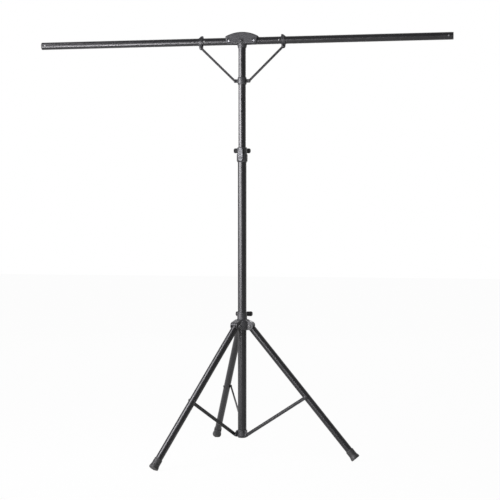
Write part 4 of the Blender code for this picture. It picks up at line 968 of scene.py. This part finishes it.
# Arms of the crossbar. Steel tube of 30 mm, painted like the mast, each turning on its bolt in
# the head, with a rivet at the front beside the strut clamp and one at the cap. The paint is
# rubbed where lamp clamps have gripped.
BAR_REACH = 845 * mm
ARM_OVERHANG = 12 * mm
CAP_LIP = 3.5 * mm
CAP_DEPTH = 16 * mm
STRUT_PIN_X = 169 * mm
ARM_RIVET_AT = STRUT_PIN_X - ARM_PIVOT - 16 * mm
CAP_RIVET_AT = BAR_REACH - ARM_PIVOT - 18 * mm
RUBBED_ARM = (250 * mm, 750 * mm)
SIDES = ((1, "right"), (-1, "left"))

arm_tip = BAR_REACH - ARM_PIVOT
arm_end = arm_tip - CAP_LIP
cap = [(0, arm_end - 1.7 * mm), (spigot - 2 * mm, arm_end - 1.7 * mm)]
cap += [(spigot - 2 * mm, arm_end - CAP_DEPTH), (spigot, arm_end - CAP_DEPTH)]
cap += [(spigot, arm_end + FIT), (MAST_RADIUS, arm_end + FIT)]
cap += bend(
    (MAST_RADIUS, arm_tip - 2.2 * mm),
    (MAST_RADIUS, arm_tip - 0.8 * mm),
    (MAST_RADIUS - 0.8 * mm, arm_tip),
    (MAST_RADIUS - 2.4 * mm, arm_tip),
)
rivet_ways = [shifted(0, 0, distance) @ sideways for distance in (ARM_RIVET_AT, CAP_RIVET_AT)]
arm_places = [bar_view @ framed((side * ARM_PIVOT, 0, 0), UP, (side, 0, 0)) for side, _ in SIDES]
for (_, word), place in zip(SIDES, arm_places):
    arm = tube(f"arm_{word}_tube", MAST_RADIUS, TUBE_WALL, -ARM_OVERHANG, arm_end)
    drilled(arm, BOLT_HOLE, -2 * MAST_RADIUS, 2 * MAST_RADIUS, sideways)
    drilled(arm, SCREW_HOLE, 0, 2 * MAST_RADIUS, *rivet_ways)
    placed(smooth(arm), place)
    arm_paint = satin_paint(f"arm_{word}_paint", place, RUBBED_ARM)
    dressed(arm, arm_paint, f"arm_{word}", "tube_steel", f"arm_tube_{word}")
    end_cap = placed(smooth(spun(f"arm_{word}_end_cap", cap + [(0, arm_tip)])), place)
    dressed(end_cap, inner_nylon, f"arm_{word}", "inner_nylon", f"arm_cap_{word}")

# Strut clamps. A nylon moulding on each arm: a band that leans towards the head, a wedge-shaped
# peak on top and an ear below, which the strut's pin passes through. The right one is built in
# the bar's side view, and the left one is its mirror image.
BAND_RADIUS = 18.3 * mm
CLAMP_HALF = 9.5 * mm
CLAMP_LEAN = radians(12)
PEAK = 9.5 * mm
PEAK_HALF = 5.5 * mm
EAR_HALF = 2 * mm
STRUT_PIN_DROP = 24.5 * mm
CLAMP_EAR = 8 * mm

lean = Matrix.Rotation(CLAMP_LEAN, 4, "Z") @ sideways
clamp = peg(BAND_RADIUS, -CLAMP_HALF * 0.75, CLAMP_HALF * 0.75, lean, 64)
clamp.name = "strut_clamp_moulding_right"
peak = [(CLAMP_HALF, 0), (CLAMP_HALF, MAST_RADIUS)]
peak += bend(
    (CLAMP_HALF * 0.1, MAST_RADIUS + PEAK * 0.72),
    (-CLAMP_HALF * 0.25, MAST_RADIUS + PEAK),
    (-CLAMP_HALF * 0.6, MAST_RADIUS + PEAK * 1.02),
    (-CLAMP_HALF * 0.95, MAST_RADIUS + PEAK * 0.85),
)
peak += [(-CLAMP_HALF, MAST_RADIUS), (-CLAMP_HALF, 0)]
ear = arc(0, -STRUT_PIN_DROP, CLAMP_EAR, pi, 2 * pi, 20)
ear += [(CLAMP_HALF, -9 * mm), (CLAMP_HALF, 0), (-CLAMP_HALF, 0), (-CLAMP_HALF, -9 * mm)]
joined(clamp, slab("peak", peak, -PEAK_HALF, PEAK_HALF), slab("ear", ear, -EAR_HALF, EAR_HALF))
drilled(clamp, mast_bore, -3 * CLAMP_HALF, 3 * CLAMP_HALF, sideways, sides=64)
way = shifted(0, -STRUT_PIN_DROP, 0)
drilled(clamp, SCREW_HOLE, -2 * MAST_RADIUS, 2 * MAST_RADIUS, way)
eased(clamp, 0.7 * mm)


def mirrored(piece, name):
    """The same shape for the left side, turned the right way out again."""
    twin = copied(piece, name, Matrix.Diagonal((-1, 1, 1, 1)))
    opened(twin)
    bpy.ops.mesh.normals_make_consistent(inside=False)
    bpy.ops.object.mode_set(mode="OBJECT")
    return smooth(twin)


clamps = (clamp, mirrored(clamp, "strut_clamp_moulding_left"))
for (side, word), piece in zip(SIDES, clamps):
    placed(piece, bar_view @ shifted(side * STRUT_PIN_X, 0, 0))
    dressed(piece, nylon, f"arm_{word}", "moulded_nylon", f"strut_clamp_{word}")

# Struts. Flat steel bars, 9.5 by 3 mm, with a round end and an eye at each end, painted black.
# Each runs down from the pin of its arm's clamp to the sliding collar's ear, in front of both.
STRUT_WIDTH = 9.5 * mm
STRUT_INNER = 2.3 * mm
STRUT_OUTER = 5.3 * mm
STRUT_COLLAR_DROP = 161 * mm
COLLAR_PIN_REACH = 29.5 * mm

strut_top = Vector((STRUT_PIN_X, -STRUT_PIN_DROP, 0))
strut_low = Vector((COLLAR_PIN_REACH, -STRUT_COLLAR_DROP, 0))
strut_length = (strut_low - strut_top).length
strut = slab("strut_bar_right", flat_bar(strut_length, STRUT_WIDTH), STRUT_INNER, STRUT_OUTER)
drilled(strut, SCREW_HOLE, 0, 2 * STRUT_OUTER, shifted(0, 0, 0), shifted(strut_length, 0, 0))
eased(strut, 0.35 * mm, radians(50), 2)
placed(strut, framed(strut_top, strut_low - strut_top, UP))
struts = (strut, mirrored(strut, "strut_bar_left"))
strut_paint = satin_paint("strut_paint", bar_view @ framed(strut_top, UP, strut_low - strut_top))
for (_, word), piece in zip(SIDES, struts):
    placed(piece, bar_view)
    dressed(piece, strut_paint, f"arm_strut_{word}", "strap_steel", f"strut_{word}")

# Sliding collar of the struts. A nylon ring on the upper tube with an ear on each side for the
# struts' studs and a set screw at the back. It is spun, given its ears and bored. The drill for
# the back is turned by half a facet, because cuts can fail where its corners meet the ring's.
COLLAR_OUTER = 18.5 * mm
COLLAR_HALF = 15 * mm
EAR_REACH = 34.5 * mm
EAR_TALL = 7.25 * mm
EAR_CORNER = 5 * mm

body = [(0, -COLLAR_HALF), (COLLAR_OUTER - 1.8 * mm, -COLLAR_HALF)]
body += bend(
    (COLLAR_OUTER - 1 * mm, -COLLAR_HALF + 1 * mm),
    (COLLAR_OUTER - 0.4 * mm, -COLLAR_HALF + 3 * mm),
    (COLLAR_OUTER, -COLLAR_HALF + 6 * mm),
    (COLLAR_OUTER, -COLLAR_HALF + 9 * mm),
    6,
)
body += [(radius, -height) for radius, height in body[::-1]]
corners = ((-1, -1), (1, -1), (1, 1), (-1, 1))
ears = rounded([(x * EAR_REACH, y * EAR_TALL, EAR_CORNER) for x, y in corners])
slider = placed(spun("sliding_collar_moulding", body), upright)
joined(slider, slab("ears", ears, -EAR_HALF, EAR_HALF))
drilled(slider, mast_bore, -100 * mm, 100 * mm, upright, sides=64)
ways = [shifted(side * COLLAR_PIN_REACH, 0, 0) for side in (-1, 1)]
drilled(slider, SCREW_HOLE, -20 * mm, 20 * mm, *ways)
drilled(slider, SCREW_HOLE, -2 * COLLAR_OUTER, 0, Matrix.Rotation(pi / 32, 4, "Z"))
eased(slider, 0.6 * mm)
slider_view = bar_view @ shifted(0, -STRUT_COLLAR_DROP, 0)
placed(slider, slider_view)
dressed(slider, nylon, "sliding_collar", "moulded_nylon", "strut_collar")

# Rivets, bolts and screws. The arms' bolts and rivets, the leg bolts, the locking collar's screw
# and the knobs' screws are zinc plated, the others blackened. Rivets and the arm bolts have low
# domes, screws a cross recess, the other bolts a hexagon socket. Each is copied to its places.
RIVET = 3 * mm
RIVET_HEAD = (5.5 * mm, 2.4 * mm)
SCREW = 2.5 * mm
SCREW_HEAD = (4.2 * mm, 2 * mm)
CROSS = 2.4 * mm
CROSS_DEPTH = 1.2 * mm
SET_SCREW_GRIP = 3.5 * mm
BOLT_HEAD = (5 * mm, 2.6 * mm)
BOLT_SOCKET = 2.2 * mm
BOLT_SOCKET_DEPTH = 1.5 * mm
LEG_BOLT_HEAD = (6 * mm, 4 * mm)
LEG_BOLT_SOCKET = 2.6 * mm
LEG_BOLT_SOCKET_DEPTH = 2.2 * mm
NUT = 5 / cos(pi / 6) * mm
NUT_HEIGHT = 5 * mm
THREAD_PAST_NUT = 2 * mm
PIN_IN_LUG = 6 * mm
SPACER = 1.2 * mm


def low_dome(radius, rise, base):
    """The half section of a low dome."""
    rim = rise * 0.25
    angles = [pi / 2 * step / 8 for step in range(8)]
    curve = [(radius * cos(a), base + rim + (rise - rim) * sin(a)) for a in angles]
    return [(radius, base)] + curve + [(0, base + rise)]


def headed(name, shank, grip, head, tail=None):
    """A head on Z = 0, its shank below and a second head if given. A head is (radius, height)."""
    shape = [(0, -grip)]
    if tail:
        shape = [(radius, -z) for radius, z in low_dome(*tail, grip)][::-1]
    shape += [(shank, -grip), (shank, 0)] + low_dome(*head, 0)
    return spun(name, shape, 40)


def hexagon(radius):
    """The outline of a hexagon, in a list of outlines."""
    return [arc(0, 0, radius, 0, 2 * pi, 6)[:-1]]


def cross(size):
    """The outlines of the two blades of a cross."""
    thin = size * 0.22
    blade = [(-size, -thin), (size, -thin), (size, thin), (-size, thin)]
    return [blade, [(-y, x) for x, y in blade]]


def recessed(piece, outlines, depth, top):
    """Sink outlines into a head."""
    return cut(piece, *[slab("recess", line, top - depth, top + depth) for line in outlines])


def cross_screw(name, grip):
    """A screw with a cross recess."""
    screw = headed(name, SCREW, grip, SCREW_HEAD)
    return smooth(recessed(screw, cross(CROSS), CROSS_DEPTH, SCREW_HEAD[1]))


def at_legs(place, *words):
    """A place for each leg, with the fastener's name, body and node. {} is the leg's number."""
    planes = enumerate(leg_planes, 1)
    return [(plane @ place, *[word.format(number) for word in words]) for number, plane in planes]


def at_sides(view, where, *words, turn=Matrix()):
    """The same for the right and the left of the mast, where {} is the side."""
    x, y, z = where
    return [
        (view @ (shifted(side * x, y, z) @ turn), *[word.format(name) for word in words])
        for side, name in SIDES
    ]


blackened = satin_paint("blackened_steel")


def fastened(master, places, metal=blackened):
    """Put a copy of a fastener at each place: (place, name, body, nodes)."""
    for place, name, body, *nodes in places:
        twin = coated(copied(master, name, place), metal, body)
        if nodes:
            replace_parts(twin, *nodes)
    bpy.data.objects.remove(master)


stop = smooth(headed("stop", RIVET, TUBE_WALL, RIVET_HEAD))
stop_place = facing(STOP_BEARING, STOP_Z, COLUMN_RADIUS + FIT)
fastened(stop, [(stop_place, "stop_rivet", "column", "hub_stop_rivet")])

over_strap = strap_outer + FIT
pin = smooth(headed("pin", RIVET, over_strap - (LUG_HIGH - PIN_IN_LUG), RIVET_HEAD))
fastened(pin, at_legs(shifted(*BRACE_PIN, over_strap), "lug_pin_{}", "column", "brace_pin_{}"))

upper_grip = over_strap - (LEG_RADIUS + FIT + SPACER)
upper = smooth(headed("upper", RIVET, upper_grip, RIVET_HEAD, (RIVET_HEAD[0], SPACER)))
over_leg = shifted(*brace_top, over_strap)
fastened(upper, at_legs(over_leg, "strap_rivet_{}", "leg_brace_{}", "brace_rivet_{}"))

far_side = smooth(headed("far_side", RIVET, 2 * LEG_RADIUS, RIVET_HEAD))
behind_leg = framed((*brace_top, -LEG_RADIUS - FIT), (1, 0, 0), -UP)
fastened(far_side, at_legs(behind_leg, "leg_rivet_{}", "leg_{}", "leg_brace_bolt_{}"))

leg_grip = 2 * (FORK_HALF + FIT)
leg_shank = leg_grip + NUT_HEIGHT + THREAD_PAST_NUT
leg_bolt = headed("leg_bolt", RIVET, leg_shank, LEG_BOLT_HEAD)
recessed(leg_bolt, hexagon(LEG_BOLT_SOCKET), LEG_BOLT_SOCKET_DEPTH, LEG_BOLT_HEAD[1])
joined(leg_bolt, slab("nut", *hexagon(NUT), -leg_grip - NUT_HEIGHT, -leg_grip))
eased(leg_bolt, 0.25 * mm, radians(40), 2)
beside_fork = leg_pivot @ shifted(0, 0, FORK_HALF + FIT)
places = at_legs(beside_fork, "pivot_bolt_{}", "sliding_hub", "leg_bolt_{}")
fastened(leg_bolt, places, dull_zinc)

pad_screw = cross_screw("pad_screw", PAD_REACH + FIT - (COLUMN_RADIUS - TUBE_WALL))
on_pad = facing(PAD_BEARING, PAD_SCREW_Z, PAD_REACH + FIT)
places = [(on_pad, "collar_pad_screw", "column", "lock_collar_screw")]
fastened(pad_screw, places, dull_zinc)

set_screw = cross_screw("set_screw", SET_SCREW_GRIP)
on_collar = facing(COLLAR_SCREW_BEARING, COLLAR_SCREW_Z, COLLAR_RADIUS + FIT)
behind_slider = slider_view @ framed((0, 0, -COLLAR_OUTER - FIT), (1, 0, 0), -UP)
places = [(on_collar, "brace_collar_set_screw", "column", "brace_collar_screw")]
places += [(behind_slider, "sliding_collar_set_screw", "sliding_collar", "strut_collar_screw")]
fastened(set_screw, places)

through = headed("through", RIVET, 2 * (BOSS_FACE + FIT), BOLT_HEAD, BOLT_HEAD)
smooth(recessed(through, hexagon(BOLT_SOCKET), BOLT_SOCKET_DEPTH, BOLT_HEAD[1]))
on_boss = bar_view @ shifted(0, 0, BOSS_FACE + FIT)
fastened(through, [(on_boss, "mast_bolt", "mast", "head_bolt")])

arm_bolt = smooth(headed("arm_bolt", RIVET, 2 * (SEAT + FIT), BOLT_HEAD, BOLT_HEAD))
seat = (ARM_PIVOT, 0, SEAT + FIT)
places = at_sides(bar_view, seat, "arm_pivot_{}", "mast", "arm_bolt_{}")
fastened(arm_bolt, places, zinc)

tube_rivet = smooth(headed("tube_rivet", SCREW, TUBE_WALL, SCREW_HEAD))
on_front = shifted(0, 0, MAST_RADIUS + FIT)
places = []
for (_, word), place in zip(SIDES, arm_places):
    by_clamp, by_cap = [place @ way @ on_front for way in rivet_ways]
    places += [(by_clamp, f"clamp_rivet_{word}", f"arm_{word}", f"arm_rivet_{word}")]
    places += [(by_cap, f"cap_rivet_{word}", f"arm_{word}")]
fastened(tube_rivet, places, dull_zinc)

pin_face = STRUT_OUTER + FIT
strut_pin = smooth(headed("strut_pin", SCREW, pin_face + EAR_HALF + FIT, SCREW_HEAD, SCREW_HEAD))
where = (STRUT_PIN_X, -STRUT_PIN_DROP, pin_face)
fastened(strut_pin, at_sides(bar_view, where, "clamp_pin_{}", "arm_{}", "strut_pin_{}"))

stud = smooth(headed("stud", SCREW, STRUT_OUTER - STRUT_INNER, SCREW_HEAD))
where = (COLLAR_PIN_REACH, 0, pin_face)
words = ("strut_foot_stud_{}", "arm_strut_{}", "strut_stud_{}")
fastened(stud, at_sides(slider_view, where, *words))

ear_rivet = smooth(headed("ear_rivet", SCREW, 2 * EAR_HALF, SCREW_HEAD))
where = (COLLAR_PIN_REACH, 0, -EAR_HALF - FIT)
words = ("ear_rivet_{}", "sliding_collar", "collar_rivet_{}")
backwards = framed((0, 0, 0), (1, 0, 0), -UP)
fastened(ear_rivet, at_sides(slider_view, where, *words, turn=backwards))

# Studio. The camera stands a little to the right and looks almost level. Two broad softboxes on
# the left, one above the other, draw the long highlight on the tubes. Weaker ones low, above and
# behind lift the shadows, and the floor and the surroundings are white for the camera.
CAMERA_PLACE = (1.365, -4.729, 0.901)
CAMERA_TILT = radians(90 - 0.76)
CAMERA_TURN = radians(15.73)
CAMERA_LENS = 87.26
SOFTBOX_COLOUR = (0.98, 0.96, 1.0)
WHITE = (1, 1, 1, 1)
ROOM_GREY = (0.66, 0.66, 0.61, 1)
ROOM_LIGHT = 0.4
MIRRORED_FRONT = 0.35
MIRRORED_BACK = 1.0
FLOOR_GREY = (0.5, 0.5, 0.5, 1)
FLOOR_IN_GLOSS = 0.6
FLOOR_SHOWN = 0.97
FLOOR_SIZE = 40

bpy.ops.object.camera_add(location=CAMERA_PLACE, rotation=(CAMERA_TILT, 0, CAMERA_TURN))
camera = bpy.context.object
camera.data.lens = CAMERA_LENS
bpy.context.scene.camera = camera

SOFTBOXES = (
    ("upper", (-5.1, -4.03, 2.25), (0, 0, 1.45), 5.6, 1.3, 500, pi),
    ("middle", (-3.2, -5.66, 1.15), (0, 0, 1.05), 7.4, 1.05, 310, pi),
    ("low", (-1.0, -2.1, 0.3), (-0.55, -0.06, 1.68), 1.1, 0.5, 6, radians(60)),
    ("above", (-0.95, -1.45, 2.5), (-0.25, -0.43, 0.2), 1.9, 1.0, 8, radians(50)),
    ("back", (-1.5, 5.3, 2.4), (0, 0, 0.9), 2.0, 2.0, 50, pi),
)
for name, place, target, width, height, watts, spread in SOFTBOXES:
    bpy.ops.object.light_add(type="AREA", location=place)
    lamp = bpy.context.object
    lamp.name = f"softbox_{name}"
    aim = Vector(target) - Vector(place)
    lamp.rotation_euler = aim.to_track_quat("-Z", "Y").to_euler()
    lamp.visible_camera = False
    lamp.data.shape = "RECTANGLE"
    lamp.data.size = width
    lamp.data.size_y = height
    lamp.data.energy = watts
    lamp.data.spread = spread
    lamp.data.color = SOFTBOX_COLOUR

world = bpy.data.worlds.new("white_surroundings")
bpy.context.scene.world = world
world.use_nodes = True
sky = Shade(world.node_tree)
seen = sky.ray("Camera") + sky.ray("Transmission")
toward = sky.node("ShaderNodeTexCoord", output="Generated").part("Y")
backdrop = toward.between(-0.2, 0.7) * (MIRRORED_BACK - MIRRORED_FRONT) + MIRRORED_FRONT
dim = sky.node("ShaderNodeBackground", sockets={"Color": ROOM_GREY, "Strength": ROOM_LIGHT})
room = sky.node("ShaderNodeBackground", sockets={"Strength": backdrop})
white = sky.node("ShaderNodeBackground", sockets={"Color": WHITE, "Strength": 1.0})
lit = sky.node("ShaderNodeMixShader", sockets={0: sky.ray("Glossy"), 1: dim, 2: room})
whole = sky.node("ShaderNodeMixShader", sockets={0: seen, 1: lit, 2: white})
whole.into(world.node_tree.nodes["World Output"], "Surface")

bpy.ops.mesh.primitive_plane_add(size=FLOOR_SIZE)
floor = bpy.context.object
floor.name = "studio_floor"
floor_material, shader, spot = material_on("pale_floor")
shader.inputs["Base Color"].default_value = FLOOR_GREY
shader.inputs["Roughness"].default_value = 0.9
shown = spot.ray("Camera") + spot.ray("Glossy") * FLOOR_IN_GLOSS + spot.ray("Transmission")
glow = spot.node("ShaderNodeEmission", sockets={"Color": WHITE, "Strength": 1.0})
own = Shade(spot.tree, shader.outputs["BSDF"])
mixed = spot.node("ShaderNodeMixShader", sockets={0: shown * FLOOR_SHOWN, 1: own, 2: glow})
mixed.into(floor_material.node_tree.nodes["Material Output"], "Surface")
floor.data.materials.append(floor_material)

bpy.context.scene.view_settings.view_transform = "Standard"
